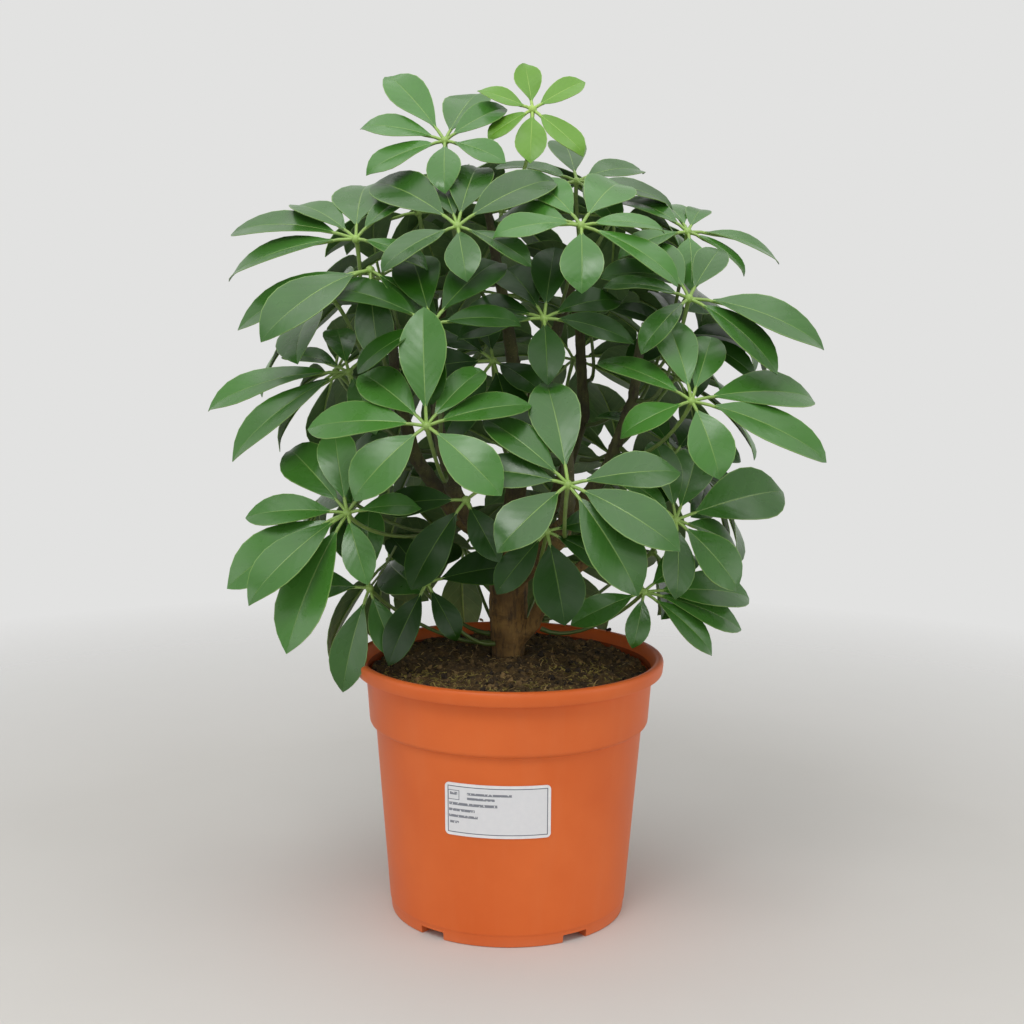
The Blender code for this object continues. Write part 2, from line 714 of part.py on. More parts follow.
def back_leaves():
    """Leaves that close the canopy behind, in rows round the trunk."""
    number = 0
    for height, distance, rise, first, step, count in BACK_ROWS:
        for index in range(count):
            number += 1
            draw = random.Random(number)
            side = first + step * index + draw.uniform(-7, 7)
            away = distance + draw.uniform(-0.008, 0.008)
            turn = math.radians(side)
            hub = (
                away * math.sin(turn),
                0.010 - away * math.cos(turn),
                height + draw.uniform(-0.012, 0.012),
            )
            spin = draw.uniform(0, 360)
            leaflets = [
                (spin + 360 * i / BACK_LEAFLETS + draw.uniform(-7, 7),
                 BACK_REACH * draw.uniform(0.85, 1.1))
                for i in range(BACK_LEAFLETS)
            ]
            yield {
                "name": f"leaf_back_{number:02}",
                "hub": hub,
                "facing": (side, rise + draw.uniform(-6, 6)),
                "bend": BACK_BEND,
                "leaflets": leaflets,
            }


def hub_guard(leaf, spares):
    """A ball that keeps other leaves off this one's hub."""
    bpy.ops.mesh.primitive_ico_sphere_add(
        subdivisions=2, radius=HUB_GUARD, location=leaf["hub"]
    )
    ball = bpy.context.object
    move_to(ball, spares)
    bpy.context.view_layer.update()
    mesh = ball.data
    mesh.transform(ball.matrix_world)
    tree = tree_of(mesh)
    bpy.data.objects.remove(ball)
    return tree


def near(first, second, margin):
    return (Vector(first) - Vector(second)).length < margin


def make_leaves(parts, spares, solids):
    materials = (
        new_material("leaf green", (0.035, 0.13, 0.022), 0.32),
        new_material("young leaf green", (0.20, 0.40, 0.03), 0.35),
    )
    leaves = [*visible_leaves(), *back_leaves()]
    for number, leaf in enumerate(leaves):
        leaf["number"] = number
    solid_trees = [tree_of(evaluated_mesh(solid)) for solid in solids]
    woods = list(wood_points())
    guards = [hub_guard(leaf, spares) for leaf in leaves]
    stalks = []
    for leaf in leaves:
        others = [guard for guard, other in zip(guards, leaves) if other != leaf]
        leaf["route"] = pick_petiole(leaf, woods, solid_trees + stalks + others, spares)
        probe = tube("probe", with_radius(leaf["route"], PETIOLE_RADIUS), 4, spares)
        stalks.append(tree_of(probe.data))
        bpy.data.objects.remove(probe)
    bare = bare_stalk(BARE_STALK_ROUTE[1:], spares)
    solid_trees.append(tree_of(bare.data))
    bpy.data.objects.remove(bare)
    placed = []
    for leaf in leaves:
        others = [
            tree
            for other, stalk, guard in zip(leaves, stalks, guards)
            if other != leaf
            for tree in (stalk, guard)
        ]
        close = [
            tree for hub, trees in placed if near(hub, leaf["hub"], 0.2) for tree in trees
        ]
        picked, trees = pick_leaflets(leaf, solid_trees + others + close)
        placed.append((leaf["hub"], trees))
        make_leaf(leaf, leaf["route"], picked, materials, parts, spares)


def main():
    clear_scene()
    parts = new_collection(PLANT)
    cutters = new_collection("cutters")
    spares = new_collection("spares")
    pot = make_pot(parts, cutters)
    soil = make_soil(parts, cutters)
    make_label(parts)
    trunk = make_trunk(parts, spares)
    make_leaves(parts, spares, [pot, soil, trunk])
    for obj in parts.objects:
        obj.data.shade_smooth()
        obj.data.set_sharp_from_angle(angle=math.radians(35))


main()
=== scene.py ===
"""A potted umbrella plant: leaves, wood, soil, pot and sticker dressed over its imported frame."""

import math
import random

import bmesh
import bpy
import numpy as np
from mathutils import Matrix, Vector
from mathutils.bvhtree import BVHTree


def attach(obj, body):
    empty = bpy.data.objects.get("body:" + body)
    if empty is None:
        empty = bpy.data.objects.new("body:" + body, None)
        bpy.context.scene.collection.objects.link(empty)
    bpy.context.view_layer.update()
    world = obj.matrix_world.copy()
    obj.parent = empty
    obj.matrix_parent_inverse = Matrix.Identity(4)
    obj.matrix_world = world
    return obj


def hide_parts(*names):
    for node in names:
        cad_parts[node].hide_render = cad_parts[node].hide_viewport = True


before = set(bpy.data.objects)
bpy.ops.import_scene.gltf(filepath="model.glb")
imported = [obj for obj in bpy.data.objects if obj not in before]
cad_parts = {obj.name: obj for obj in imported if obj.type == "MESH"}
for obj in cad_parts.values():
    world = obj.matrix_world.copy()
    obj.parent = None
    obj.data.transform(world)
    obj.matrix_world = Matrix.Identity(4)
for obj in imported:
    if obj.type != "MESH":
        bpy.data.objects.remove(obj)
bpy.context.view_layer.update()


# ---------------------------------------------------------------------------------------
# Pot
# One thin shell of injection-moulded orange polypropylene. The rolled lip and the collar
# stiffen its mouth, and the foot ring that it stands on has slots for water to run out.
# ---------------------------------------------------------------------------------------

POT_SIDES = 128
POT_FLOOR = 0.005
POT_HEIGHT = 0.178
BASE_RADIUS = 0.081
BODY_TOP_RADIUS = 0.0912
BODY_TOP = 0.130
WALL = 0.0018
NOTCHES = 5
NOTCH_SIZE = (0.017, 0.019, 0.0112)
NOTCH_TURN = -56
NOTCH_RING = 0.0765
DRAINS = 5
DRAIN_RADIUS = 0.006
DRAIN_RING = 0.050
MOUTH_SHADE_HEIGHT = 0.1664
MOUTH_SHADE_RADIUS = 0.0972
CREASE_ANGLE = math.radians(38)


def body_radius(height):
    """Outer radius of the tapered body of the pot."""
    return BASE_RADIUS + (BODY_TOP_RADIUS - BASE_RADIUS) * height / BODY_TOP


UNDERSIDE_RADIUS = 0.0710
POT_OUTSIDE = (
    (0.0716, 0.0008),
    (0.0722, 0.0000),
    (0.0794, 0.0000),
    (0.0803, 0.0004),
    (0.0806, 0.0014),
    (body_radius(0.0076) - 0.0004, 0.0076),
    (body_radius(0.0082) - 0.0003, 0.0081),
    (body_radius(0.0086), 0.0086),
    (body_radius(0.0100), 0.0100),
    (body_radius(0.0700), 0.0700),
    (body_radius(0.1300), 0.1300),
    (body_radius(0.1312), 0.1312),
    (0.0916, 0.1316),
    (0.0940, 0.1326),
    (0.0949, 0.1334),
    (0.0954, 0.1346),
    (0.0956, 0.1362),
    (0.0967, 0.1520),
    (0.0979, 0.1664),
    (0.0981, 0.1672),
)
POT_LIP = (
    (0.0986, 0.1675),
    (0.1036, 0.1681),
    (0.1045, 0.1684),
    (0.1049, 0.1691),
    (0.1054, 0.1735),
    (0.1055, 0.1752),
    (0.1052, 0.1766),
    (0.1045, 0.1775),
    (0.1034, 0.1780),
    (0.1018, 0.1779),
    (0.1006, 0.1773),
    (0.0999, 0.1762),
)
POT_INSIDE = (
    (0.0975, 0.1720),
    (0.0963, 0.1660),
    (0.0938, 0.1370),
    (0.0926, 0.1345),
    (0.0906, 0.1325),
    (body_radius(0.1280) - WALL, 0.1280),
    (body_radius(0.0120) - WALL, 0.0120),
    (body_radius(0.0068) - WALL - 0.0030, 0.0070),
    (0.0680, 0.0068),
)


def open_new_piece(name):
    """Names the primitive that was just added, and opens it for editing."""
    piece = bpy.context.object
    piece.name = piece.data.name = name
    bpy.ops.object.mode_set(mode="EDIT")
    return piece


def close_piece(piece):
    """Ends the editing, and moves the piece's place into its mesh."""
    bpy.ops.object.mode_set(mode="OBJECT")
    bpy.ops.object.transform_apply(location=True, rotation=True, scale=True)
    return piece


def deselect():
    """Clears the selection, so that the next step works on its own piece."""
    bpy.ops.object.select_all(action="DESELECT")


def raise_rings(rings, radius, height):
    """Extrudes the selected face along rings of (radius, height)."""
    for wide, high in rings:
        bpy.ops.mesh.extrude_region_move(
            TRANSFORM_OT_translate={"value": (0, 0, high - height)}
        )
        share = wide / radius
        bpy.ops.transform.resize(value=(share, share, 1), center_override=(0, 0, high))
        radius, height = wide, high


def apply_modifier(piece, kind, **settings):
    """Adds a modifier to the piece and applies it."""
    deselect()
    piece.select_set(True)
    bpy.context.view_layer.objects.active = piece
    modifier = piece.modifiers.new(kind.title(), kind)
    for setting, value in settings.items():
        setattr(modifier, setting, value)
    bpy.ops.object.modifier_apply(modifier=modifier.name)


def cut_away(piece, cutter):
    """Cuts the cutter's shape out of the piece, and throws the cutter away."""
    apply_modifier(piece, "BOOLEAN", object=cutter, operation="DIFFERENCE", solver="EXACT")
    bpy.data.objects.remove(cutter)


def srgb(red, green, blue):
    """A colour for a shader, from the usual 0 to 255."""
    shares = [value / 255 for value in (red, green, blue)]
    return (
        *(s / 12.92 if s <= 0.04045 else ((s + 0.055) / 1.055) ** 2.4 for s in shares),
        1,
    )


def start_finish(name, **sockets):
    """A new material, its node tree and its shader with these sockets set."""
    finish = bpy.data.materials.new(name)
    finish.use_nodes = True
    shader = finish.node_tree.nodes["Principled BSDF"]
    for socket, value in sockets.items():
        shader.inputs[socket.replace("_", " ")].default_value = value
    return finish, finish.node_tree, shader


def add_node(tree, kind, sockets=(), **settings):
    """A shader node. sockets gives an input its value, or the output that feeds it."""
    made = tree.nodes.new("ShaderNode" + kind)
    for setting, value in settings.items():
        setattr(made, setting, value)
    for socket, value in dict(sockets).items():
        if isinstance(value, bpy.types.NodeSocket):
            tree.links.new(value, made.inputs[socket])
        else:
            made.inputs[socket].default_value = value
    return made


def mix(tree, share, first, second):
    """The first colour, with this share of the second blended in."""
    return add_node(tree, "Mix", {0: share, 6: first, 7: second}, data_type="RGBA").outputs[2]


def calc(tree, operation, first, second=0.0):
    """A sum or other step of arithmetic on values."""
    return add_node(tree, "Math", {0: first, 1: second}, operation=operation).outputs[0]


def ramp(tree, value, low, high, start=0.0, end=1.0):
    """start below low, end above high, and an even slope between."""
    sockets = {"Value": value, 1: low, 2: high, 3: start, 4: end}
    return add_node(tree, "MapRange", sockets, clamp=True).outputs[0]


def noise(tree, place, scale, detail=3.0, roughness=0.55):
    """Cloudy noise from 0 to 1 at a place."""
    sockets = {"Vector": place, "Scale": scale, "Detail": detail, "Roughness": roughness}
    return add_node(tree, "TexNoise", sockets).outputs["Fac"]


def stretched(tree, place, x, y, z):
    """The place with its axes scaled, so that a pattern is stretched along them."""
    return add_node(tree, "Mapping", {"Vector": place, "Scale": (x, y, z)}).outputs[0]


def add_bump(tree, shader, height, distance, strength=1.0):
    """Makes the shader's surface rise and fall with a height from 0 to 1."""
    sockets = {"Height": height, "Distance": distance, "Strength": strength}
    bump = add_node(tree, "Bump", sockets)
    tree.links.new(bump.outputs[0], shader.inputs["Normal"])


deselect()
bpy.ops.mesh.primitive_circle_add(
    vertices=POT_SIDES, radius=UNDERSIDE_RADIUS, fill_type="NGON", location=(0, 0, POT_FLOOR)
)
pot = open_new_piece("pot_shell")
bpy.ops.mesh.select_all(action="SELECT")
raise_rings((*POT_OUTSIDE, *POT_LIP, *POT_INSIDE), UNDERSIDE_RADIUS, POT_FLOOR)
bpy.ops.mesh.select_all(action="SELECT")
bpy.ops.mesh.normals_make_consistent(inside=False)
close_piece(pot)

for index in range(NOTCHES):
    turn = math.radians(NOTCH_TURN + 360 * index / NOTCHES)
    deselect()
    bpy.ops.mesh.primitive_cube_add(
        size=1,
        location=(NOTCH_RING * math.cos(turn), NOTCH_RING * math.sin(turn), 0),
        rotation=(0, 0, turn),
        scale=NOTCH_SIZE,
    )
    notch = open_new_piece("notch")
    bpy.ops.mesh.bevel(offset=0.0006, segments=2, affect="EDGES")
    cut_away(pot, close_piece(notch))
for index in range(DRAINS):
    turn = math.radians(-90 + 360 * index / DRAINS)
    deselect()
    bpy.ops.mesh.primitive_cylinder_add(
        vertices=24,
        radius=DRAIN_RADIUS,
        depth=0.02,
        location=(DRAIN_RING * math.cos(turn), DRAIN_RING * math.sin(turn), 0),
    )
    drain = bpy.context.object
    cut_away(pot, drain)
deselect()
pot.select_set(True)
bpy.context.view_layer.objects.active = pot
bpy.ops.object.shade_smooth_by_angle(angle=CREASE_ANGLE)

plastic, tree, shader = start_finish("orange polypropylene", Roughness=0.42)
shader.inputs["Specular IOR Level"].default_value = 0.30
place = add_node(tree, "TexCoord").outputs["Object"]
height = add_node(tree, "SeparateXYZ", {0: place}).outputs["Z"]
cloud = noise(tree, place, 14, 4)
streaks = noise(tree, stretched(tree, place, 1, 1, 0.12), 60, 3)
colour = mix(tree, ramp(tree, cloud, 0.35, 0.7), srgb(214, 99, 40), srgb(222, 108, 48))
colour = mix(tree, ramp(tree, streaks, 0.5, 0.8, 0, 0.22), colour, srgb(220, 120, 72))
foot_rub = calc(tree, "MULTIPLY", ramp(tree, height, 0.010, 0.0, 0, 0.55), cloud)
colour = mix(tree, foot_rub, colour, srgb(216, 130, 92))
x_y = add_node(tree, "VectorMath", {0: place, 1: (1, 1, 0)}, operation="MULTIPLY").outputs[0]
from_axis = add_node(tree, "VectorMath", {0: x_y}, operation="LENGTH").outputs["Value"]
# Painted shade: the inside of the mouth above the soil is darkened to a deep red-brown for the
# shade of the leaves over it, together with some soil dirt.
inside = calc(tree, "LESS_THAN", from_axis, MOUTH_SHADE_RADIUS)
inside = calc(tree, "MULTIPLY", inside, calc(tree, "GREATER_THAN", height, MOUTH_SHADE_HEIGHT))
colour = mix(tree, calc(tree, "MULTIPLY", inside, 0.75), colour, srgb(120, 48, 24))
tree.links.new(colour, shader.inputs["Base Color"])
grain = noise(tree, place, 1400, 2)
tree.links.new(ramp(tree, cloud, 0.3, 0.7, 0.38, 0.50), shader.inputs["Roughness"])
add_bump(tree, shader, grain, 0.00012, 0.25)
pot.data.materials.clear()
pot.data.materials.append(plastic)
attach(pot, "root")
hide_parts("pot")


# ---------------------------------------------------------------------------------------
# Soil
# Peat-based potting compost, filled to a finger below the lip and pressed round the trunk.
# Crumbs, pale curly fibres and tufts of olive moss lie on it, thickest towards the front.
# ---------------------------------------------------------------------------------------

SOIL_SKIN_DEPTH = 0.1560
SOIL_VOXEL = 0.0018
SOIL_REACH = 0.0925
TRUNK_PLACE = Vector((-0.001, 0.018, 0))
TRUNK_KEEP_OFF = 0.0130
CRUMBS = 900
FIBRES = 700
MOSS_SPRIGS = 380
MOSS_STRANDS = 3
FIBRE_CUTS = 7


def merged_copy(node, name):
    """A CAD node's mesh as a new object, with its loose triangles joined up."""
    shape = bmesh.new()
    shape.from_mesh(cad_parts[node].data)
    bmesh.ops.remove_doubles(shape, verts=shape.verts, dist=0.00002)
    mesh = bpy.data.meshes.new(name)
    shape.to_mesh(mesh)
    shape.free()
    piece = bpy.data.objects.new(name, mesh)
    bpy.context.scene.collection.objects.link(piece)
    return piece


def slice_off(piece, height, upper):
    """Cuts the piece level at a height and throws away its upper or lower part."""
    deselect()
    piece.select_set(True)
    bpy.context.view_layer.objects.active = piece
    bpy.ops.object.mode_set(mode="EDIT")
    bpy.ops.mesh.select_all(action="SELECT")
    bpy.ops.mesh.bisect(
        plane_co=(0, 0, height),
        plane_no=(0, 0, 1),
        use_fill=True,
        clear_inner=not upper,
        clear_outer=upper,
    )
    bpy.ops.object.mode_set(mode="OBJECT")


def roughen(piece, kind, size, strength, direction="NORMAL", **settings):
    """Pushes the piece's surface in and out by a cloudy texture."""
    pattern = bpy.data.textures.new(piece.name + "_relief", kind)
    pattern.noise_scale = size
    for setting, value in settings.items():
        setattr(pattern, setting, value)
    apply_modifier(
        piece,
        "DISPLACE",
        texture=pattern,
        texture_coords="LOCAL",
        strength=strength,
        mid_level=0.5,
        direction=direction,
    )


def join(first, others):
    """Joins the other pieces into the first."""
    deselect()
    for piece in others:
        piece.select_set(True)
    first.select_set(True)
    bpy.context.view_layer.objects.active = first
    bpy.ops.object.join()


soil = merged_copy("soil", "soil_surface")
soil_below = merged_copy("soil", "soil_below")
slice_off(soil, SOIL_SKIN_DEPTH, upper=False)
slice_off(soil_below, SOIL_SKIN_DEPTH - 0.0002, upper=True)
apply_modifier(soil, "REMESH", mode="VOXEL", voxel_size=SOIL_VOXEL)
roughen(soil, "CLOUDS", 0.016, 0.0050, "Z")
roughen(soil, "CLOUDS", 0.0052, 0.0042, "Z", noise_depth=2)
roughen(soil, "VORONOI", 0.0034, 0.0016, "Z")
soil.data.shade_smooth()
surface = BVHTree.FromObject(soil, bpy.context.evaluated_depsgraph_get())
join(soil, [soil_below])


def on_soil(draw, reach, wanted):
    """A spot on the soil clear of the trunk, kept as often as wanted says, and its normal."""
    while True:
        away, turn = reach * math.sqrt(draw.random()), draw.uniform(0, 2 * math.pi)
        spot = Vector((away * math.cos(turn), away * math.sin(turn), 0))
        if (spot - TRUNK_PLACE).length < TRUNK_KEEP_OFF or draw.random() > wanted(spot):
            continue
        hit, normal, _, _ = surface.ray_cast(spot + Vector((0, 0, 0.2)), Vector((0, 0, -1)))
        if hit is not None and hit.z > SOIL_SKIN_DEPTH:
            return hit, normal


def set_tone(mesh, tones):
    """Gives each point of the mesh a number that its material reads."""
    layer = mesh.attributes.new("tone", "FLOAT", "POINT")
    layer.data.foreach_set("value", np.asarray(tones, np.float32))


def copy_of(master, points):
    """A copy of the master with its own mesh, its points moved to these."""
    piece = bpy.data.objects.new("copy", master.data.copy())
    bpy.context.scene.collection.objects.link(piece)
    piece.data.vertices.foreach_set("co", np.asarray(points, np.float32).ravel())
    return piece


def points_of(piece):
    """The piece's points as rows of x, y and z."""
    points = np.empty(3 * len(piece.data.vertices), np.float32)
    piece.data.vertices.foreach_get("co", points)
    return points.reshape(-1, 3).astype(float)


def spun(draw):
    """A rotation matrix, any way round."""
    axes, _ = np.linalg.qr(np.array([[draw.gauss(0, 1) for _ in range(3)] for _ in range(3)]))
    return axes * np.sign(np.linalg.det(axes))


def read_tone(tree):
    """The number that set_tone gave to the point."""
    return add_node(tree, "Attribute", attribute_name="tone").outputs["Fac"]


draw = random.Random(11)
deselect()
bpy.ops.mesh.primitive_ico_sphere_add(subdivisions=2, radius=1, location=(0, 0, 0))
crumb = open_new_piece("crumb")
bpy.ops.mesh.select_all(action="SELECT")
bpy.ops.transform.vertex_random(offset=0.32, uniform=0.5, normal=0.4, seed=3)
bpy.ops.mesh.decimate(ratio=0.5)
close_piece(crumb)
crumb_points = points_of(crumb)
crumbs = []
for _ in range(CRUMBS):
    spot, normal = on_soil(draw, SOIL_REACH, lambda spot: 1)
    size = 0.0005 + 0.0022 * draw.random() ** 2.2
    shape = np.array([1, draw.uniform(0.5, 1), draw.uniform(0.4, 0.8)]) * size
    laid = (crumb_points * shape) @ spun(draw).T + spot + normal * size * 0.3
    crumbs.append(copy_of(crumb, laid))
    set_tone(crumbs[-1].data, [draw.random()] * len(laid))
back_rim_crumb = np.array([0.0722, 0.0730, POT_HEIGHT + 0.0012])
crumbs.append(copy_of(crumb, crumb_points * (0.0021, 0.0014, 0.0013) + back_rim_crumb))
set_tone(crumbs[-1].data, [0.1] * len(crumb_points))
bpy.data.objects.remove(crumb)
soil_crumbs = crumbs.pop()
join(soil_crumbs, crumbs)
soil_crumbs.name = "soil_crumbs"

deselect()
bpy.ops.mesh.primitive_cylinder_add(
    vertices=3, radius=1, depth=1, end_fill_type="NGON", location=(0, 0, 0.5)
)
fibre = open_new_piece("fibre")
for cut in range(1, FIBRE_CUTS):
    bpy.ops.mesh.select_all(action="SELECT")
    bpy.ops.mesh.bisect(plane_co=(0, 0, cut / FIBRE_CUTS), plane_no=(0, 0, 1))
close_piece(fibre)
fibre_points = points_of(fibre)


def front_bias(spot):
    """How likely a fibre is here: most likely in front, where watering washed them."""
    return 0.30 + 0.70 * max(0.0, min(1.0, (0.02 - spot.y) / 0.07))


def curled(draw, start, normal, length, radius, curl):
    """The fibre's points along a curl that starts at a spot and leans along the soil."""
    along = Vector([draw.gauss(0, 1) for _ in range(3)])
    along = (along - normal * along.dot(normal)).normalized()
    along = (along + normal * draw.uniform(0.1, 0.9)).normalized()
    aside = along.cross(normal).normalized()
    line = [Vector(start)]
    for step in range(FIBRE_CUTS):
        along = (along + aside * curl * draw.uniform(0.2, 1) - normal * 0.22).normalized()
        aside = (aside + normal * draw.uniform(-0.5, 0.5)).normalized()
        line.append(line[-1] + along * length / FIBRE_CUTS)
    across = [Vector((0, 0, 1)).cross(b - a).normalized() for a, b in zip(line, line[1:])]
    across.append(across[-1])
    laid = []
    for x, y, z in fibre_points:
        step = round(z * FIBRE_CUTS)
        side = across[step]
        ahead = line[min(step + 1, FIBRE_CUTS)] - line[max(step - 1, 0)]
        up = side.cross(ahead).normalized()
        thin = radius * (1 - 0.55 * z)
        laid.append(line[step] + side * x * thin + up * y * thin)
    return laid


fibres = []
for _ in range(FIBRES):
    spot, normal = on_soil(draw, SOIL_REACH, front_bias)
    length = 0.002 + 0.007 * draw.random() ** 1.6
    laid = curled(draw, spot, normal, length, draw.uniform(0.00020, 0.00048), 1.0)
    fibres.append(copy_of(fibre, laid))
    set_tone(fibres[-1].data, [draw.random()] * len(laid))
soil_fibres = fibres.pop()
join(soil_fibres, fibres)
soil_fibres.name = "soil_fibres"


def moss_bias(spot):
    """Moss grows on the damp front left and, thinner, on the front right."""
    left = math.exp(-(((spot.x + 0.060) / 0.030) ** 2) - ((spot.y + 0.045) / 0.026) ** 2)
    front = math.exp(-(((spot.x - 0.010) / 0.045) ** 2) - ((spot.y + 0.066) / 0.016) ** 2)
    right = math.exp(-(((spot.x - 0.055) / 0.026) ** 2) - ((spot.y + 0.020) / 0.026) ** 2)
    return left + 0.7 * front + 0.5 * right


moss = []
for _ in range(MOSS_SPRIGS):
    spot, normal = on_soil(draw, SOIL_REACH, moss_bias)
    tone = draw.random()
    for _ in range(MOSS_STRANDS):
        length = draw.uniform(0.0018, 0.0040)
        laid = curled(draw, spot, normal, length, draw.uniform(0.00035, 0.00070), 1.4)
        moss.append(copy_of(fibre, laid))
        set_tone(moss[-1].data, [tone] * len(laid))
bpy.data.objects.remove(fibre)
soil_moss = moss.pop()
join(soil_moss, moss)
soil_moss.name = "soil_moss"

peat, tree, shader = start_finish("damp peat", Roughness=0.9)
place = add_node(tree, "TexCoord").outputs["Object"]
coarse, fine = noise(tree, place, 90, 4, 0.7), noise(tree, place, 420, 4, 0.7)
colour = mix(tree, ramp(tree, coarse, 0.35, 0.65), srgb(46, 33, 17), srgb(104, 80, 44))
colour = mix(tree, ramp(tree, fine, 0.54, 0.72, 0, 0.7), colour, srgb(156, 130, 78))
colour = mix(tree, ramp(tree, fine, 0.44, 0.30, 0, 0.8), colour, srgb(22, 15, 8))
tree.links.new(colour, shader.inputs["Base Color"])
add_bump(tree, shader, fine, 0.0012, 0.8)
soil.data.materials.append(peat)

grit, tree, shader = start_finish("peat crumbs", Roughness=0.85)
place = add_node(tree, "TexCoord").outputs["Object"]
tone = calc(tree, "POWER", read_tone(tree), 2.0)
colour = mix(tree, tone, srgb(28, 19, 9), srgb(150, 122, 76))
colour = mix(tree, ramp(tree, noise(tree, place, 700), 0.4, 0.7, 0, 0.5), colour, srgb(58, 42, 28))
tree.links.new(colour, shader.inputs["Base Color"])
add_bump(tree, shader, noise(tree, place, 1100), 0.0005, 0.7)
soil_crumbs.data.materials.append(grit)

straw, tree, shader = start_finish("peat fibres", Roughness=0.75)
place = add_node(tree, "TexCoord").outputs["Object"]
colour = mix(tree, read_tone(tree), srgb(92, 68, 38), srgb(206, 176, 118))
dull = ramp(tree, noise(tree, place, 500), 0.35, 0.7, 0, 0.45)
colour = mix(tree, dull, colour, srgb(128, 110, 62))
tree.links.new(colour, shader.inputs["Base Color"])
add_bump(tree, shader, noise(tree, place, 2400), 0.0001, 0.6)
soil_fibres.data.materials.append(straw)

mossy, tree, shader = start_finish("olive moss", Roughness=0.8)
place = add_node(tree, "TexCoord").outputs["Object"]
colour = mix(tree, read_tone(tree), srgb(108, 96, 40), srgb(194, 174, 98))
dull = ramp(tree, noise(tree, place, 600), 0.35, 0.7, 0, 0.35)
colour = mix(tree, dull, colour, srgb(84, 78, 32))
tree.links.new(colour, shader.inputs["Base Color"])
add_bump(tree, shader, noise(tree, place, 2400), 0.0001, 0.6)
soil_moss.data.materials.append(mossy)

for piece in (soil, soil_crumbs, soil_fibres, soil_moss):
    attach(piece, "root")
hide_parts("soil")


# ---------------------------------------------------------------------------------------
# Label
# A white self-adhesive nursery sticker with round corners, pressed onto the pot's curve.
# Its print is left as a plain border, an empty box and short grey rules.
# ---------------------------------------------------------------------------------------

LABEL_SIZE = (0.070, 0.036)
LABEL_CORNER = 0.003
LABEL_CENTRE = 0.095
LABEL_TURN = math.radians(-90 - 4.5)
LABEL_COLUMNS = 28
LABEL_ROWS = 4
LABEL_THICKNESS = 0.00035
LABEL_GAP = 0.0003
RULES = (
    (0.0300, 0.0292, 0.0290, 0.00150),
    (0.0245, 0.0260, 0.0180, 0.00150),
    (0.0192, 0.0218, 0.0320, 0.00175),
    (0.0117, 0.0176, 0.0175, 0.00160),
    (0.0127, 0.0134, 0.0195, 0.00160),
    (0.0067, 0.0092, 0.0060, 0.00150),
    (0.0062, 0.0288, 0.0050, 0.00180),
)
PRINT_BOX = (0.0062, 0.0278, 0.0075, 0.0062)
BORDER_BOX = (0.035, 0.018, 0.0655, 0.0315)
BORDER_LINE = 0.00042
BOX_LINE = 0.00030

deselect()
bpy.ops.mesh.primitive_plane_add(size=1, location=(0, 0, 0))
label = open_new_piece("sticker")
bpy.ops.transform.resize(value=(*LABEL_SIZE, 1))
bpy.ops.mesh.bevel(offset=LABEL_CORNER, segments=8, affect="VERTICES")
for column in range(1, LABEL_COLUMNS):
    bpy.ops.mesh.select_all(action="SELECT")
    x = LABEL_SIZE[0] * (column / LABEL_COLUMNS - 0.5)
    bpy.ops.mesh.bisect(plane_co=(x, 0, 0), plane_no=(1, 0, 0))
for row in range(1, LABEL_ROWS):
    bpy.ops.mesh.select_all(action="SELECT")
    y = LABEL_SIZE[1] * (row / LABEL_ROWS - 0.5)
    bpy.ops.mesh.bisect(plane_co=(0, y, 0), plane_no=(0, 1, 0))
close_piece(label)
flat = points_of(label)
flat_uv = label.data.uv_layers.active or label.data.uv_layers.new(name="UVMap")
for corner in label.data.loops:
    x, y, _ = flat[corner.vertex_index]
    flat_uv.data[corner.index].uv = (x / LABEL_SIZE[0] + 0.5, y / LABEL_SIZE[1] + 0.5)
height = LABEL_CENTRE + flat[:, 1]
radius = body_radius(height) + LABEL_GAP
turn = LABEL_TURN + flat[:, 0] / radius
wrapped = np.stack([radius * np.cos(turn), radius * np.sin(turn), height], 1)
label.data.vertices.foreach_set("co", wrapped.astype(np.float32).ravel())
apply_modifier(label, "SOLIDIFY", thickness=LABEL_THICKNESS, offset=1)
label.data.shade_smooth()
deselect()
label.select_set(True)
bpy.context.view_layer.objects.active = label
bpy.ops.object.shade_smooth_by_angle(angle=CREASE_ANGLE)

paper, tree, shader = start_finish("sticker paper", Roughness=0.38)
shader.inputs["Specular IOR Level"].default_value = 0.45
spot = add_node(tree, "TexCoord").outputs["UV"]
split = add_node(tree, "SeparateXYZ", {0: spot})
across = calc(tree, "MULTIPLY", split.outputs["X"], LABEL_SIZE[0])
up = calc(tree, "MULTIPLY", split.outputs["Y"], LABEL_SIZE[1])


def edge_distance(middle_x, middle_y, wide, high):
    """How far outside a rectangle on the sticker a point is, below 0 inside it."""
    x = calc(tree, "ABSOLUTE", calc(tree, "SUBTRACT", across, middle_x))
    y = calc(tree, "ABSOLUTE", calc(tree, "SUBTRACT", up, middle_y))
    return calc(
        tree,
        "MAXIMUM",
        calc(tree, "SUBTRACT", x, wide / 2),
        calc(tree, "SUBTRACT", y, high / 2),
    )


def frame_line(distance, wide):
    """1 on a line of this width along the rectangle's edge."""
    return ramp(tree, calc(tree, "ABSOLUTE", distance), wide * 0.5, wide * 0.8, 1, 0)


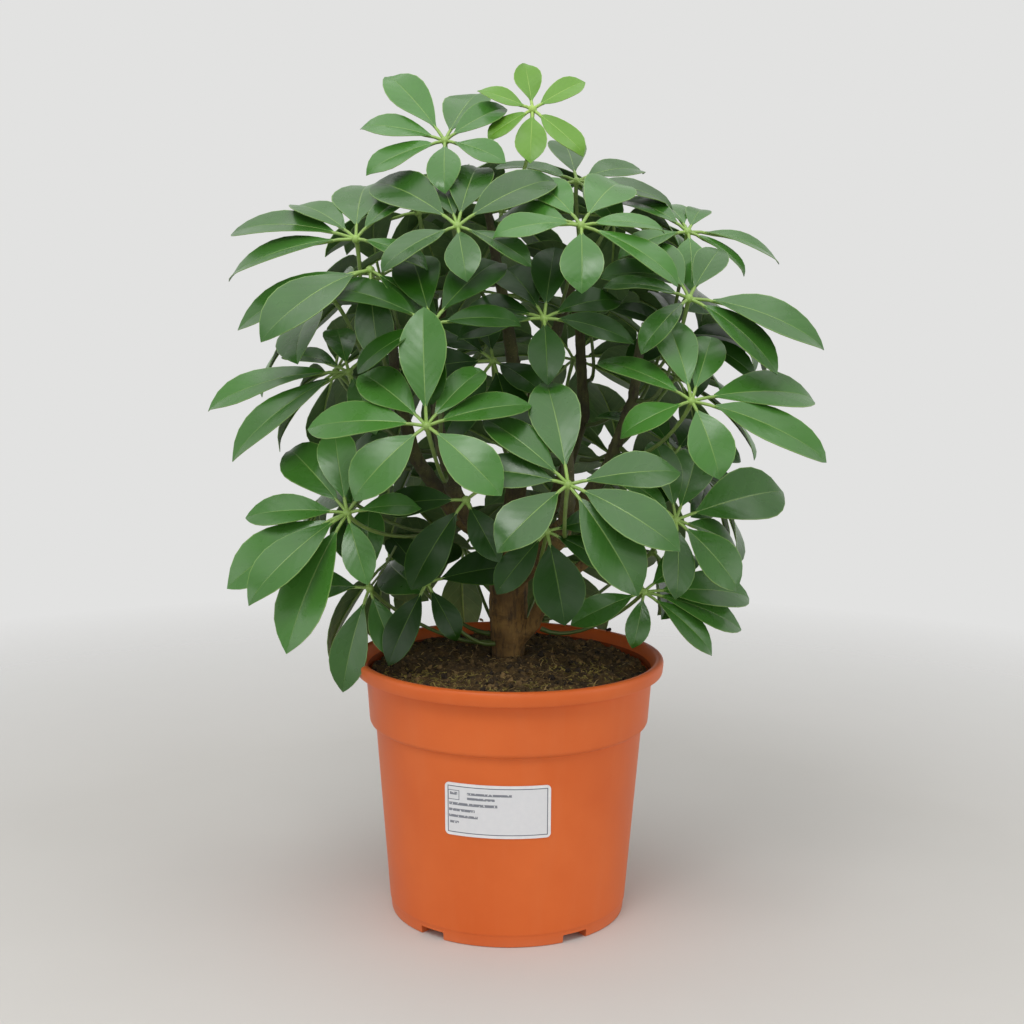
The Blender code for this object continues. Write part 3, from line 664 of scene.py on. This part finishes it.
border = edge_distance(*BORDER_BOX)
ink = frame_line(border, BORDER_LINE)
ink = calc(tree, "MAXIMUM", ink, frame_line(edge_distance(*PRINT_BOX), BOX_LINE))
word_gaps = noise(tree, stretched(tree, spot, 55, 14, 1), 1, 1)
word_gaps = ramp(tree, word_gaps, 0.34, 0.38)
for rule in RULES:
    line = ramp(tree, edge_distance(*rule), 0.0, 0.00015, 0.8, 0)
    ink = calc(tree, "MAXIMUM", ink, calc(tree, "MULTIPLY", line, word_gaps))
fleck = noise(tree, add_node(tree, "TexCoord").outputs["Object"], 260, 3)
colour = mix(tree, ramp(tree, fleck, 0.3, 0.7), srgb(226, 227, 230), srgb(236, 236, 238))
inner = ramp(tree, border, -0.0001, 0.0001, 1, 0)
colour = mix(tree, calc(tree, "MULTIPLY", inner, 0.6), colour, srgb(218, 220, 224))
colour = mix(tree, ink, colour, srgb(80, 88, 102))
tree.links.new(colour, shader.inputs["Base Color"])
add_bump(tree, shader, fleck, 0.00008, 0.3)
label.data.materials.append(paper)
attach(label, "root")
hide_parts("label")


# ---------------------------------------------------------------------------------------
# Trunk and boughs
# One woody stem, brown and furrowed at the soil and greener up the boughs, ringed by old
# leaf scars; up among the leaves the boughs are also painted darker, as painted shade. A side
# stem leaves its foot on the right, and a cut twig's stub its left.
# ---------------------------------------------------------------------------------------

BARK_VOXEL = 0.0013
STUB_START = Vector((-0.0175, 0.012, 0.1985))
STUB_STEPS = ((-0.0042, -0.001, 0.0012), (-0.0012, -0.0004, 0.0045), (0.0, -0.0002, 0.0012))

trunk = merged_copy("trunk", "trunk_bark")
deselect()
bpy.ops.mesh.primitive_circle_add(
    vertices=8, radius=0.0016, fill_type="NGON", location=STUB_START, rotation=(0, 1.2, 0)
)
stub = open_new_piece("twig_stub")
for step in STUB_STEPS:
    bpy.ops.mesh.extrude_region_move(TRANSFORM_OT_translate={"value": step})
    bpy.ops.transform.resize(value=(0.9, 0.9, 0.9))
bpy.ops.mesh.select_all(action="SELECT")
bpy.ops.mesh.normals_make_consistent(inside=False)
close_piece(stub)
join(trunk, [stub])
apply_modifier(trunk, "REMESH", mode="VOXEL", voxel_size=BARK_VOXEL)
apply_modifier(trunk, "SMOOTH", iterations=8, factor=0.5)
roughen(trunk, "CLOUDS", 0.010, 0.0014)
roughen(trunk, "CLOUDS", 0.0035, 0.0008, noise_depth=2)
trunk.data.shade_smooth()

bark, tree, shader = start_finish("bark", Roughness=0.78)
place = add_node(tree, "TexCoord").outputs["Object"]
height = add_node(tree, "SeparateXYZ", {0: place}).outputs["Z"]
furrows = noise(tree, stretched(tree, place, 1, 1, 0.25), 330, 5, 0.65)
rings = noise(tree, stretched(tree, place, 0.3, 0.3, 1), 210, 3)
patches = noise(tree, place, 55, 3)
lower = mix(tree, ramp(tree, patches, 0.35, 0.65), srgb(98, 72, 34), srgb(150, 116, 62))
# The boughs' own colour is greener. Here it is also made darker, as painted shade of the leaves
# around them.
upper = mix(tree, ramp(tree, patches, 0.35, 0.65), srgb(50, 50, 24), srgb(78, 80, 38))
colour = mix(tree, ramp(tree, height, 0.215, 0.300), lower, upper)
colour = mix(tree, ramp(tree, furrows, 0.52, 0.34, 0, 0.75), colour, srgb(46, 34, 20))
colour = mix(tree, ramp(tree, rings, 0.58, 0.68, 0, 0.45), colour, srgb(56, 44, 26))
pores = ramp(tree, noise(tree, place, 900), 0.66, 0.74, 0, 0.6)
colour = mix(tree, pores, colour, srgb(158, 138, 96))
tree.links.new(colour, shader.inputs["Base Color"])
add_bump(tree, shader, calc(tree, "ADD", furrows, rings), 0.0012, 0.8)
trunk.data.materials.append(bark)
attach(trunk, "root")
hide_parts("trunk")


# ---------------------------------------------------------------------------------------
# Leaves
# Each leaf is a thin green stalk that ends in a knuckle, from which five to nine leathery
# leaflets spread like the ribs of an umbrella, folded along a pale midrib and glossy.
# ---------------------------------------------------------------------------------------

STALK_SHARE = 0.16
SECTION_SHARES = (STALK_SHARE, 0.4456, 0.7816, 1.0)
FIRST_WIDTH = 0.778
BLADE_ROWS = 11
BLADE_FOLD = 0.18
BLADE_ARCH = 0.045
BLADE_THICKNESS = 0.00045
BLADE_RIM_ANGLE = math.radians(80)
EDGE_WAVE = (0.0003, 0.0013)
TIP_DROP = 0.0022
RIB_SIDES = 5
RIB_CUTS = 8
RIB_START = 0.012
RIB_END = 0.90
RIB_RADIUS = 0.00115
RIB_TAPER = 0.00090
PETIOLE_SIDES = 8
PETIOLE_CUTS = 12
PETIOLE_RADII = (0.00185, 0.00135, 0.00125, 0.00125, 0.0013, 0.0016)
WITHERED_RADII = (0.0009, 0.0007, 0.0006, 0.0009)
KNUCKLE_RADIUS = 0.0029
SIDE_VEINS = 9.0
VEIN_SLANT = 1.9
# How the CAD's leaflet tips, hub, rings of points and bare stalk are told apart.
LEAFLET_SPAN = 0.006
LEAFLET_THICKNESS = 0.0022
HUB_REACH = 0.0055
RING_SPAN = 0.0032
BARE_STALK_RADIUS = 0.00115
# The older leaves, deep in the plant, are the darkest green. Their finishes are darker and less
# glossy still, as painted shade of the plant's inside.
OLD_SHADED_LEAVES = {
    "leaf_front_upper",
    "leaf_heart",
    "leaf_inner",
    "leaf_low_middle",
    "leaf_right_inner",
    "leaf_right_shade",
    "leaf_shade_left",
    "leaf_under_front",
}


def blade_outline(share):
    """Half the blade's width at this share of its length, out of 1 at its widest."""
    if not 0 < share < 1:
        return 0.0
    return math.sin(math.pi * share**1.22) ** 0.70 * (1 - share**10) ** 0.35


# The master blade: u runs from -1 to 1 across it in x, and its share of length is in y.
deselect()
bpy.ops.mesh.primitive_grid_add(
    x_subdivisions=4, y_subdivisions=BLADE_ROWS, size=2, location=(0, 0, 0)
)
blade = open_new_piece("blade")
bpy.ops.transform.resize(value=(1, 0.5, 1))
bpy.ops.transform.translate(value=(0, 0.5, 0))
blade_shape = bmesh.from_edit_mesh(blade.data)
bpy.ops.mesh.select_mode(type="VERT")
for row in range(BLADE_ROWS + 1):
    was = row / BLADE_ROWS
    share = (1 - math.cos(math.pi * was)) / 2
    share = 0.55 * share + 0.45 * was
    bpy.ops.mesh.select_all(action="DESELECT")
    for vertex in blade_shape.verts:
        vertex.tag = abs(vertex.co.y - was) < 0.02 and not vertex.hide
        vertex.select = vertex.tag
    blade_shape.select_flush(True)
    width = max(blade_outline(share), 0.07 if row == 0 else 0.0)
    bpy.ops.transform.resize(value=(width, 1, 1), center_override=(0, was, 0))
    bpy.ops.transform.translate(value=(0, share - was + 10, 0))
    blade_shape = bmesh.from_edit_mesh(blade.data)
bpy.ops.mesh.select_all(action="SELECT")
bpy.ops.transform.translate(value=(0, -10, 0))
bpy.ops.mesh.remove_doubles(threshold=0.0005)
bpy.ops.mesh.select_all(action="DESELECT")
bpy.ops.mesh.select_mode(type="EDGE")
blade_shape = bmesh.from_edit_mesh(blade.data)
for edge in blade_shape.edges:
    edge.select = all(abs(vertex.co.x) < 0.001 for vertex in edge.verts)
bpy.ops.mesh.mark_sharp()
close_piece(blade)
bpy.ops.object.shade_smooth()
blade_points = points_of(blade)

# The master rib: the leaflet's own stalk, which runs on under the blade as its midrib.
deselect()
bpy.ops.mesh.primitive_cylinder_add(
    vertices=RIB_SIDES, radius=1, depth=1, end_fill_type="NGON", location=(0, 0, 0.5)
)
rib = open_new_piece("rib")
for cut in range(1, RIB_CUTS):
    bpy.ops.mesh.select_all(action="SELECT")
    bpy.ops.mesh.bisect(plane_co=(0, 0, cut / RIB_CUTS), plane_no=(0, 0, 1))
close_piece(rib)
bpy.ops.object.shade_smooth()
rib_points = points_of(rib)

# The master petiole, the leaf's long stalk, and the knuckle at its end.
deselect()
bpy.ops.mesh.primitive_cylinder_add(
    vertices=PETIOLE_SIDES, radius=1, depth=1, end_fill_type="NGON", location=(0, 0, 0.5)
)
petiole = open_new_piece("petiole")
for cut in range(1, PETIOLE_CUTS):
    bpy.ops.mesh.select_all(action="SELECT")
    bpy.ops.mesh.bisect(plane_co=(0, 0, cut / PETIOLE_CUTS), plane_no=(0, 0, 1))
close_piece(petiole)
bpy.ops.object.shade_smooth()
petiole_points = points_of(petiole)

deselect()
bpy.ops.mesh.primitive_ico_sphere_add(subdivisions=2, radius=1, location=(0, 0, 0))
knuckle = open_new_piece("knuckle")
bpy.ops.mesh.select_all(action="SELECT")
bpy.ops.transform.vertex_random(offset=0.08, uniform=0, normal=1, seed=5)
close_piece(knuckle)
bpy.ops.object.shade_smooth()
knuckle_points = points_of(knuckle)


def read_leaf(name):
    """A CAD leaf's leaflets, each its four-point sections and tip, and its petiole's line."""
    shape = bmesh.new()
    shape.from_mesh(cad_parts[name].data)
    bmesh.ops.remove_doubles(shape, verts=shape.verts, dist=0.00002)
    shape.verts.ensure_lookup_table()
    points = np.array([vertex.co for vertex in shape.verts])
    beside = [{edge.other_vert(v).index for edge in v.link_edges} for v in shape.verts]
    shape.free()
    leaflets, used = [], set()
    for tip, around in enumerate(beside):
        if len(around) != 4:
            continue
        pairs = [
            (np.linalg.norm(points[a] - points[b]), a, b)
            for a in around
            for b in around
            if a < b
        ]
        wide, left, right = max(pairs)
        top, bottom = around - {left, right}
        thin = np.linalg.norm(points[top] - points[bottom])
        far = np.linalg.norm(points[tip] - points[list(around)].mean(0))
        if wide < LEAFLET_SPAN or far < LEAFLET_SPAN or thin > LEAFLET_THICKNESS:
            continue
        if len(beside[top] & around) != 2:
            continue
        sections, outer = [(left, right, top, bottom)], {tip}
        while len(sections) < 3 and sections[-1]:
            here = set(sections[-1])
            left, right, top, bottom = sections[-1]
            tops, bottoms = beside[top] - here - outer, beside[bottom] - here - outer
            lefts = beside[left] - here - outer - tops - bottoms
            rights = beside[right] - here - outer - tops - bottoms
            inner = lefts, rights, tops, bottoms
            single = all(len(found) == 1 for found in inner)
            sections.append(tuple(found.pop() for found in inner) if single else ())
            outer = here
        if not sections[-1]:
            continue
        used |= {tip}.union(*sections)
        leaflets.append(([points[list(s)] for s in reversed(sections)], points[tip]))
    return leaflets, np.delete(points, list(used), 0)


def centre_line(sections, tip):
    """The cubic that a leaflet's middle follows, by share of its reach from the knuckle."""
    middles = [section[2:].mean(0) for section in sections]
    powers = np.vander(SECTION_SHARES, 4, increasing=True)
    return np.linalg.solve(powers, np.array([*middles, tip]))


def along_line(line, share):
    """Points and directions of a cubic at these shares."""
    place = np.vander(share, 4, increasing=True) @ line
    ahead = np.stack([0 * share, 1 + 0 * share, 2 * share, 3 * share**2], 1) @ line
    return place, ahead / np.linalg.norm(ahead, axis=1)[:, None]


def lay(line, aside, share, x, z):
    """Points x to the side of a leaflet's line and z above it."""
    place, ahead = along_line(line, share)
    across = np.broadcast_to(aside, ahead.shape)
    across = across - ahead * (across * ahead).sum(1)[:, None]
    across = across / np.linalg.norm(across, axis=1)[:, None]
    above = np.cross(across, ahead)
    return place + across * x[:, None] + above * z[:, None]


def make_leaflet(draw, tone, sections, tip):
    """A folded blade and its rib, laid along the CAD leaflet's line."""
    line = centre_line(sections, tip)
    left, right, top, bottom = sections[1]
    half_width = np.linalg.norm(left - right) / 2 / FIRST_WIDTH
    aside = (right - left) / np.linalg.norm(right - left)
    _, ahead = along_line(line, np.array([0.45]))
    raised = (left + right - top - bottom) / 2
    if np.dot(np.cross(aside, ahead[0]), raised) < 0:
        aside = -aside
    u, share = blade_points[:, 0].copy(), blade_points[:, 1]
    outline = np.array([max(blade_outline(s), 0.0) for s in share])
    x = u * half_width
    edge = np.divide(np.abs(u), outline, out=np.zeros_like(outline), where=outline > 0.08)
    edge = np.minimum(edge, 1)
    z = np.abs(x) * BLADE_FOLD - half_width * BLADE_ARCH * edge**2 * outline
    wave = draw.uniform(*EDGE_WAVE)
    phase = draw.uniform(0, 2 * math.pi)
    z += wave * np.sin(share * draw.uniform(5, 9) + phase + (u > 0) * 2.1) * edge**2
    z += draw.uniform(-0.05, 0.05) * x * share
    z -= TIP_DROP * np.clip((share - 0.80) / 0.20, 0, 1) ** 2 * draw.uniform(0.3, 1.5)
    reach_share = STALK_SHARE + (1 - STALK_SHARE) * share
    made = copy_of(blade, lay(line, aside, reach_share, x, z))
    apply_modifier(
        made, "SOLIDIFY", thickness=BLADE_THICKNESS, offset=0, material_offset=1,
        use_rim=True, use_rim_only=False,
    )
    set_tone(made.data, [tone] * len(made.data.vertices))

    share = rib_points[:, 2]
    reach_share = RIB_START + (RIB_END - RIB_START) * share
    thick = RIB_RADIUS - RIB_TAPER * np.clip((reach_share - 0.10) / 0.8, 0, 1)
    sunk = (thick + 0.0001) * np.clip((reach_share - 0.12) / 0.10, 0, 1)
    laid = lay(line, aside, reach_share, rib_points[:, 0] * thick, rib_points[:, 1] * thick - sunk)
    stalk = copy_of(rib, laid)
    set_tone(stalk.data, 0.35 * share)
    return made, stalk, line[0]


def make_petiole(points, hub):
    """The leaf's stalk, through the CAD tube's four sections to the knuckle."""
    ends = points[np.linalg.norm(points - hub, axis=1) > HUB_REACH]
    middles = []
    while len(ends):
        near = np.linalg.norm(ends - ends[0], axis=1) < RING_SPAN
        middle = ends[near].mean(0)
        middles.append((middle, np.linalg.norm(ends[near] - middle, axis=1).mean()))
        ends = ends[~near]
    wood_end = sorted(
        (place for place, thick in middles if thick > BARE_STALK_RADIUS),
        key=lambda place: -np.linalg.norm(place - hub),
    )
    return [*wood_end, hub], [place for place, thick in middles if thick <= BARE_STALK_RADIUS]


def tube_along(master, shape, route, radii):
    """The master's points round a smooth line through a route's points."""
    steps = np.linspace(0, 1, len(route))
    line = np.linalg.solve(np.vander(steps, len(route), increasing=True), np.array(route))
    share = shape[:, 2]
    place = np.vander(share, len(route), increasing=True) @ line
    slopes = [k * share ** max(k - 1, 0) for k in range(len(route))]
    ahead = np.stack(slopes, 1) @ line
    ahead = ahead / np.linalg.norm(ahead, axis=1)[:, None]
    aside = np.cross(ahead, (0.31, 0.17, 0.93))
    aside = aside / np.linalg.norm(aside, axis=1)[:, None]
    above = np.cross(aside, ahead)
    thick = np.interp(share, np.linspace(0, 1, len(radii)), radii)
    x, y = shape[:, 0] * thick, shape[:, 1] * thick
    return copy_of(master, place + aside * x[:, None] + above * y[:, None])


def blade_veins(tree, u, v, sharpness):
    """Distance out from the midrib, and the side veins' waves and lines across a blade."""
    out = calc(tree, "MULTIPLY", calc(tree, "ABSOLUTE", calc(tree, "SUBTRACT", u, 0.5)), 2)
    slant = calc(
        tree,
        "SUBTRACT",
        calc(tree, "MULTIPLY", v, SIDE_VEINS),
        calc(tree, "MULTIPLY", out, VEIN_SLANT),
    )
    wave = calc(tree, "PINGPONG", slant, 0.5)
    return out, wave, ramp(tree, wave, 0.0, sharpness, 1, 0)


def leaf_finish(name, dark, light, midrib, edge, gloss, shine):
    """Glossy leaf skin: pale midrib, faint side veins, thin pale edge, cloudy greens."""
    finish, tree, shader = start_finish(name, Roughness=gloss)
    shader.inputs["Specular IOR Level"].default_value = shine
    coords = add_node(tree, "TexCoord")
    split = add_node(tree, "SeparateXYZ", {0: coords.outputs["UV"]})
    v = split.outputs["Y"]
    out, vein, vein_line = blade_veins(tree, split.outputs["X"], v, 0.07)
    cloud = calc(tree, "MULTIPLY", noise(tree, coords.outputs["Object"], 42, 3), 0.30)
    tone = calc(tree, "ADD", calc(tree, "MULTIPLY", read_tone(tree), 0.85), cloud)
    colour = mix(tree, tone, dark, light)
    fade = ramp(tree, out, 0.25, 0.95, 1, 0.1)
    vein_line = calc(tree, "MULTIPLY", vein_line, fade)
    colour = mix(tree, calc(tree, "MULTIPLY", vein_line, 0.05), colour, midrib)
    rib_width = ramp(tree, v, 0.0, 1.0, 0.048, 0.016)
    rib_line = ramp(tree, calc(tree, "DIVIDE", out, rib_width), 0.45, 1.0, 1, 0)
    strength = ramp(tree, v, 0.10, 0.95, 0.80, 0.18)
    colour = mix(tree, calc(tree, "MULTIPLY", rib_line, strength), colour, midrib)
    colour = mix(tree, ramp(tree, out, 0.955, 0.990, 0, 0.60), colour, edge)
    tree.links.new(colour, shader.inputs["Base Color"])
    sheen = noise(tree, coords.outputs["Object"], 70, 2)
    rough = ramp(tree, sheen, 0.3, 0.7, gloss - 0.06, gloss + 0.08)
    tree.links.new(rough, shader.inputs["Roughness"])
    quilting = ramp(tree, vein, 0.0, 0.5, 0.0, 0.22)
    relief = calc(tree, "SUBTRACT", quilting, calc(tree, "MULTIPLY", rib_line, 0.8))
    pores = calc(tree, "MULTIPLY", noise(tree, coords.outputs["Object"], 260, 2), 0.35)
    relief = calc(tree, "ADD", relief, pores)
    add_bump(tree, shader, relief, 0.0005, 0.35)
    return finish


def underside_finish(name, dark, light, midrib):
    """The duller, paler back of a leaflet, with its veins standing out a little."""
    finish, tree, shader = start_finish(name, Roughness=0.55)
    shader.inputs["Specular IOR Level"].default_value = 0.35
    coords = add_node(tree, "TexCoord")
    split = add_node(tree, "SeparateXYZ", {0: coords.outputs["UV"]})
    _, _, vein_line = blade_veins(tree, split.outputs["X"], split.outputs["Y"], 0.06)
    cloud = noise(tree, coords.outputs["Object"], 60, 3)
    colour = mix(tree, ramp(tree, cloud, 0.3, 0.7), dark, light)
    colour = mix(tree, calc(tree, "MULTIPLY", vein_line, 0.28), colour, midrib)
    tree.links.new(colour, shader.inputs["Base Color"])
    add_bump(tree, shader, vein_line, 0.0004, 0.4)
    return finish


def stalk_finish(name, knuckle_green, wood_green):
    """Smooth stalk skin, palest at the knuckle."""
    finish, tree, shader = start_finish(name, Roughness=0.45)
    place = add_node(tree, "TexCoord").outputs["Object"]
    colour = mix(tree, read_tone(tree), knuckle_green, wood_green)
    patches = ramp(tree, noise(tree, place, 160), 0.35, 0.7, 0, 0.35)
    colour = mix(tree, patches, colour, wood_green)
    tree.links.new(colour, shader.inputs["Base Color"])
    add_bump(tree, shader, noise(tree, place, 900), 0.0002, 0.4)
    return finish


green_finishes = (
    leaf_finish(
        "leaf gloss",
        dark=srgb(14, 44, 4),
        light=srgb(70, 124, 46),
        midrib=srgb(140, 172, 92),
        edge=srgb(138, 172, 90),
        gloss=0.29,
        shine=0.45,
    ),
    underside_finish("leaf underside", srgb(74, 106, 58), srgb(100, 130, 72), srgb(140, 164, 96)),
    stalk_finish("stalk green", srgb(144, 178, 86), srgb(72, 90, 36)),
)
# Painted shade: these copies of the leaf finishes are darker and less shiny for the leaves in the
# shade inside the plant, besides being older.
old_shaded_finishes = (
    leaf_finish(
        "old shaded leaf gloss",
        dark=srgb(6, 28, 0),
        light=srgb(34, 76, 12),
        midrib=srgb(96, 130, 54),
        edge=srgb(84, 120, 48),
        gloss=0.36,
        shine=0.26,
    ),
    underside_finish("old shaded leaf underside", srgb(44, 74, 28), srgb(66, 98, 42), srgb(104, 132, 66)),
    green_finishes[2],
)
young_finishes = (
    leaf_finish(
        "young leaf gloss",
        dark=srgb(76, 128, 22),
        light=srgb(104, 150, 42),
        midrib=srgb(168, 200, 104),
        edge=srgb(160, 190, 96),
        gloss=0.40,
        shine=0.45,
    ),
    underside_finish(
        "young leaf underside", srgb(140, 180, 92), srgb(160, 196, 108), srgb(190, 214, 128)
    ),
    stalk_finish("young stalk green", srgb(164, 196, 96), srgb(120, 150, 66)),
)


def paint_stalk(piece, finishes):
    """Gives a piece the leaf's three finishes, and shows the last of them."""
    piece.data.materials.clear()
    for finish in finishes:
        piece.data.materials.append(finish)
    for face in piece.data.polygons:
        face.material_index = len(finishes) - 1


for number, name in enumerate(sorted(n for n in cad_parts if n.startswith("leaf"))):
    finishes = young_finishes if name == "leaf_young" else green_finishes
    if name in OLD_SHADED_LEAVES:
        finishes = old_shaded_finishes
    draw = random.Random(500 + number)
    leaflets, stalk_points = read_leaf(name)
    age = draw.uniform(0.30, 0.82)
    blade.data.materials.clear()
    for finish in finishes:
        blade.data.materials.append(finish)
    parts = []
    hubs = []
    for sections, tip in leaflets:
        made, stalk, hub = make_leaflet(draw, age + draw.uniform(-0.14, 0.14), sections, tip)
        paint_stalk(stalk, finishes)
        parts += [made, stalk]
        hubs.append(hub)
    hub = np.mean(hubs, axis=0)
    route, bare_route = make_petiole(stalk_points, hub)
    stem = tube_along(petiole, petiole_points, route, PETIOLE_RADII)
    set_tone(stem.data, 1 - 0.75 * petiole_points[:, 2] ** 1.5)
    parts.append(stem)
    ball = copy_of(knuckle, knuckle_points * KNUCKLE_RADIUS + hub)
    set_tone(ball.data, [0.0] * len(knuckle_points))
    parts.append(ball)
    if bare_route:
        bare_route.sort(key=lambda place: np.linalg.norm(place - hub))
        withered = tube_along(petiole, petiole_points, [hub, *bare_route], WITHERED_RADII)
        set_tone(withered.data, [1.0] * len(petiole_points))
        parts.append(withered)
    for part in parts[2 * len(leaflets) :]:
        paint_stalk(part, finishes)
    leaf = parts.pop(0)
    join(leaf, parts)
    deselect()
    leaf.select_set(True)
    bpy.context.view_layer.objects.active = leaf
    bpy.ops.object.shade_smooth_by_angle(angle=BLADE_RIM_ANGLE)
    leaf.name = leaf.data.name = name + "_dressed"
    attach(leaf, "root")
    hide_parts(name)
for master in (blade, rib, petiole, knuckle):
    bpy.data.objects.remove(master)


# ---------------------------------------------------------------------------------------
# Studio: a plain pale floor, soft light from above, the front and both sides, and the
# camera. Only the camera and reflections see the wall's full brightness.
# ---------------------------------------------------------------------------------------

FLOOR_REACH = 1.6
FLOOR_FADE = (0.40, 1.10)
CAMERA_PLACE = (0.001, -1.1, 0.4417)
CAMERA_PITCH = math.radians(-8.55)
CAMERA_ROLL = math.radians(0.49)
CAMERA_LENS = 57.74
CAMERA_SENSOR = 36

deselect()
bpy.ops.mesh.primitive_circle_add(vertices=64, radius=FLOOR_REACH, fill_type="NGON")
floor = open_new_piece("floor")
close_piece(floor)
painted, tree, shader = start_finish("pale floor", Roughness=0.75)
place = add_node(tree, "TexCoord").outputs["Object"]
colour = mix(tree, noise(tree, place, 6), srgb(206, 204, 200), srgb(212, 210, 206))
tree.links.new(colour, shader.inputs["Base Color"])
from_pot = add_node(tree, "VectorMath", {0: place}, operation="LENGTH").outputs["Value"]
tree.links.new(ramp(tree, from_pot, *FLOOR_FADE, 1, 0), shader.inputs["Alpha"])
floor.data.materials.append(painted)

world = bpy.data.worlds.new("studio")
bpy.context.scene.world = world
world.use_nodes = True
backdrop = world.node_tree.nodes["Background"]
backdrop.inputs["Color"].default_value = srgb(238, 236, 230)
backdrop.inputs["Strength"].default_value = 0.23
wall = world.node_tree.nodes.new("ShaderNodeBackground")
wall.inputs["Color"].default_value = srgb(226, 226, 225)
seen = world.node_tree.nodes.new("ShaderNodeLightPath")
looked_at = world.node_tree.nodes.new("ShaderNodeMath")
looked_at.operation = "MAXIMUM"
either = world.node_tree.nodes.new("ShaderNodeMixShader")
world.node_tree.links.new(seen.outputs["Is Camera Ray"], looked_at.inputs[0])
world.node_tree.links.new(seen.outputs["Is Glossy Ray"], looked_at.inputs[1])
world.node_tree.links.new(looked_at.outputs[0], either.inputs[0])
world.node_tree.links.new(backdrop.outputs[0], either.inputs[1])
world.node_tree.links.new(wall.outputs[0], either.inputs[2])
world.node_tree.links.new(either.outputs[0], world.node_tree.nodes["World Output"].inputs[0])


def soft_light(name, place, aim, size, power, colour=(1, 1, 1)):
    """A square softbox that points at a spot."""
    lamp = bpy.data.lights.new(name, "AREA")
    lamp.size = size
    lamp.energy = power
    lamp.color = colour
    light = bpy.data.objects.new(name, lamp)
    bpy.context.scene.collection.objects.link(light)
    light.location = place
    light.rotation_euler = (Vector(aim) - Vector(place)).to_track_quat("-Z", "Y").to_euler()


soft_light("key", (-0.4, -1.2, 1.60), (0, 0, 0.28), 0.7, 10)
soft_light("fill", (0.2, -1.9, 0.60), (0, 0, 0.10), 1.2, 6)
soft_light("fill_left", (-1.7, -0.7, 0.55), (0, 0, 0.12), 1.2, 7)
soft_light("fill_right", (1.7, -0.7, 0.55), (0, 0, 0.12), 1.2, 8.5)
soft_light("ceiling", (0.0, -0.15, 1.65), (0, 0, 0.30), 2.2, 21)

lens = bpy.data.cameras.new("camera")
lens.lens = CAMERA_LENS
lens.sensor_width = CAMERA_SENSOR
camera = bpy.data.objects.new("camera", lens)
bpy.context.scene.collection.objects.link(camera)
forward = Vector((0, math.cos(CAMERA_PITCH), math.sin(CAMERA_PITCH)))
level = Vector((1, 0, 0))
upright = level.cross(forward)
aside = level * math.cos(CAMERA_ROLL) + upright * math.sin(CAMERA_ROLL)
above = upright * math.cos(CAMERA_ROLL) - level * math.sin(CAMERA_ROLL)
camera.matrix_world = Matrix(
    (
        (aside.x, above.x, -forward.x, CAMERA_PLACE[0]),
        (aside.y, above.y, -forward.y, CAMERA_PLACE[1]),
        (aside.z, above.z, -forward.z, CAMERA_PLACE[2]),
        (0, 0, 0, 1),
    )
)
bpy.context.scene.camera = camera
bpy.context.scene.view_settings.view_transform = "Standard"

bpy.context.view_layer.update()
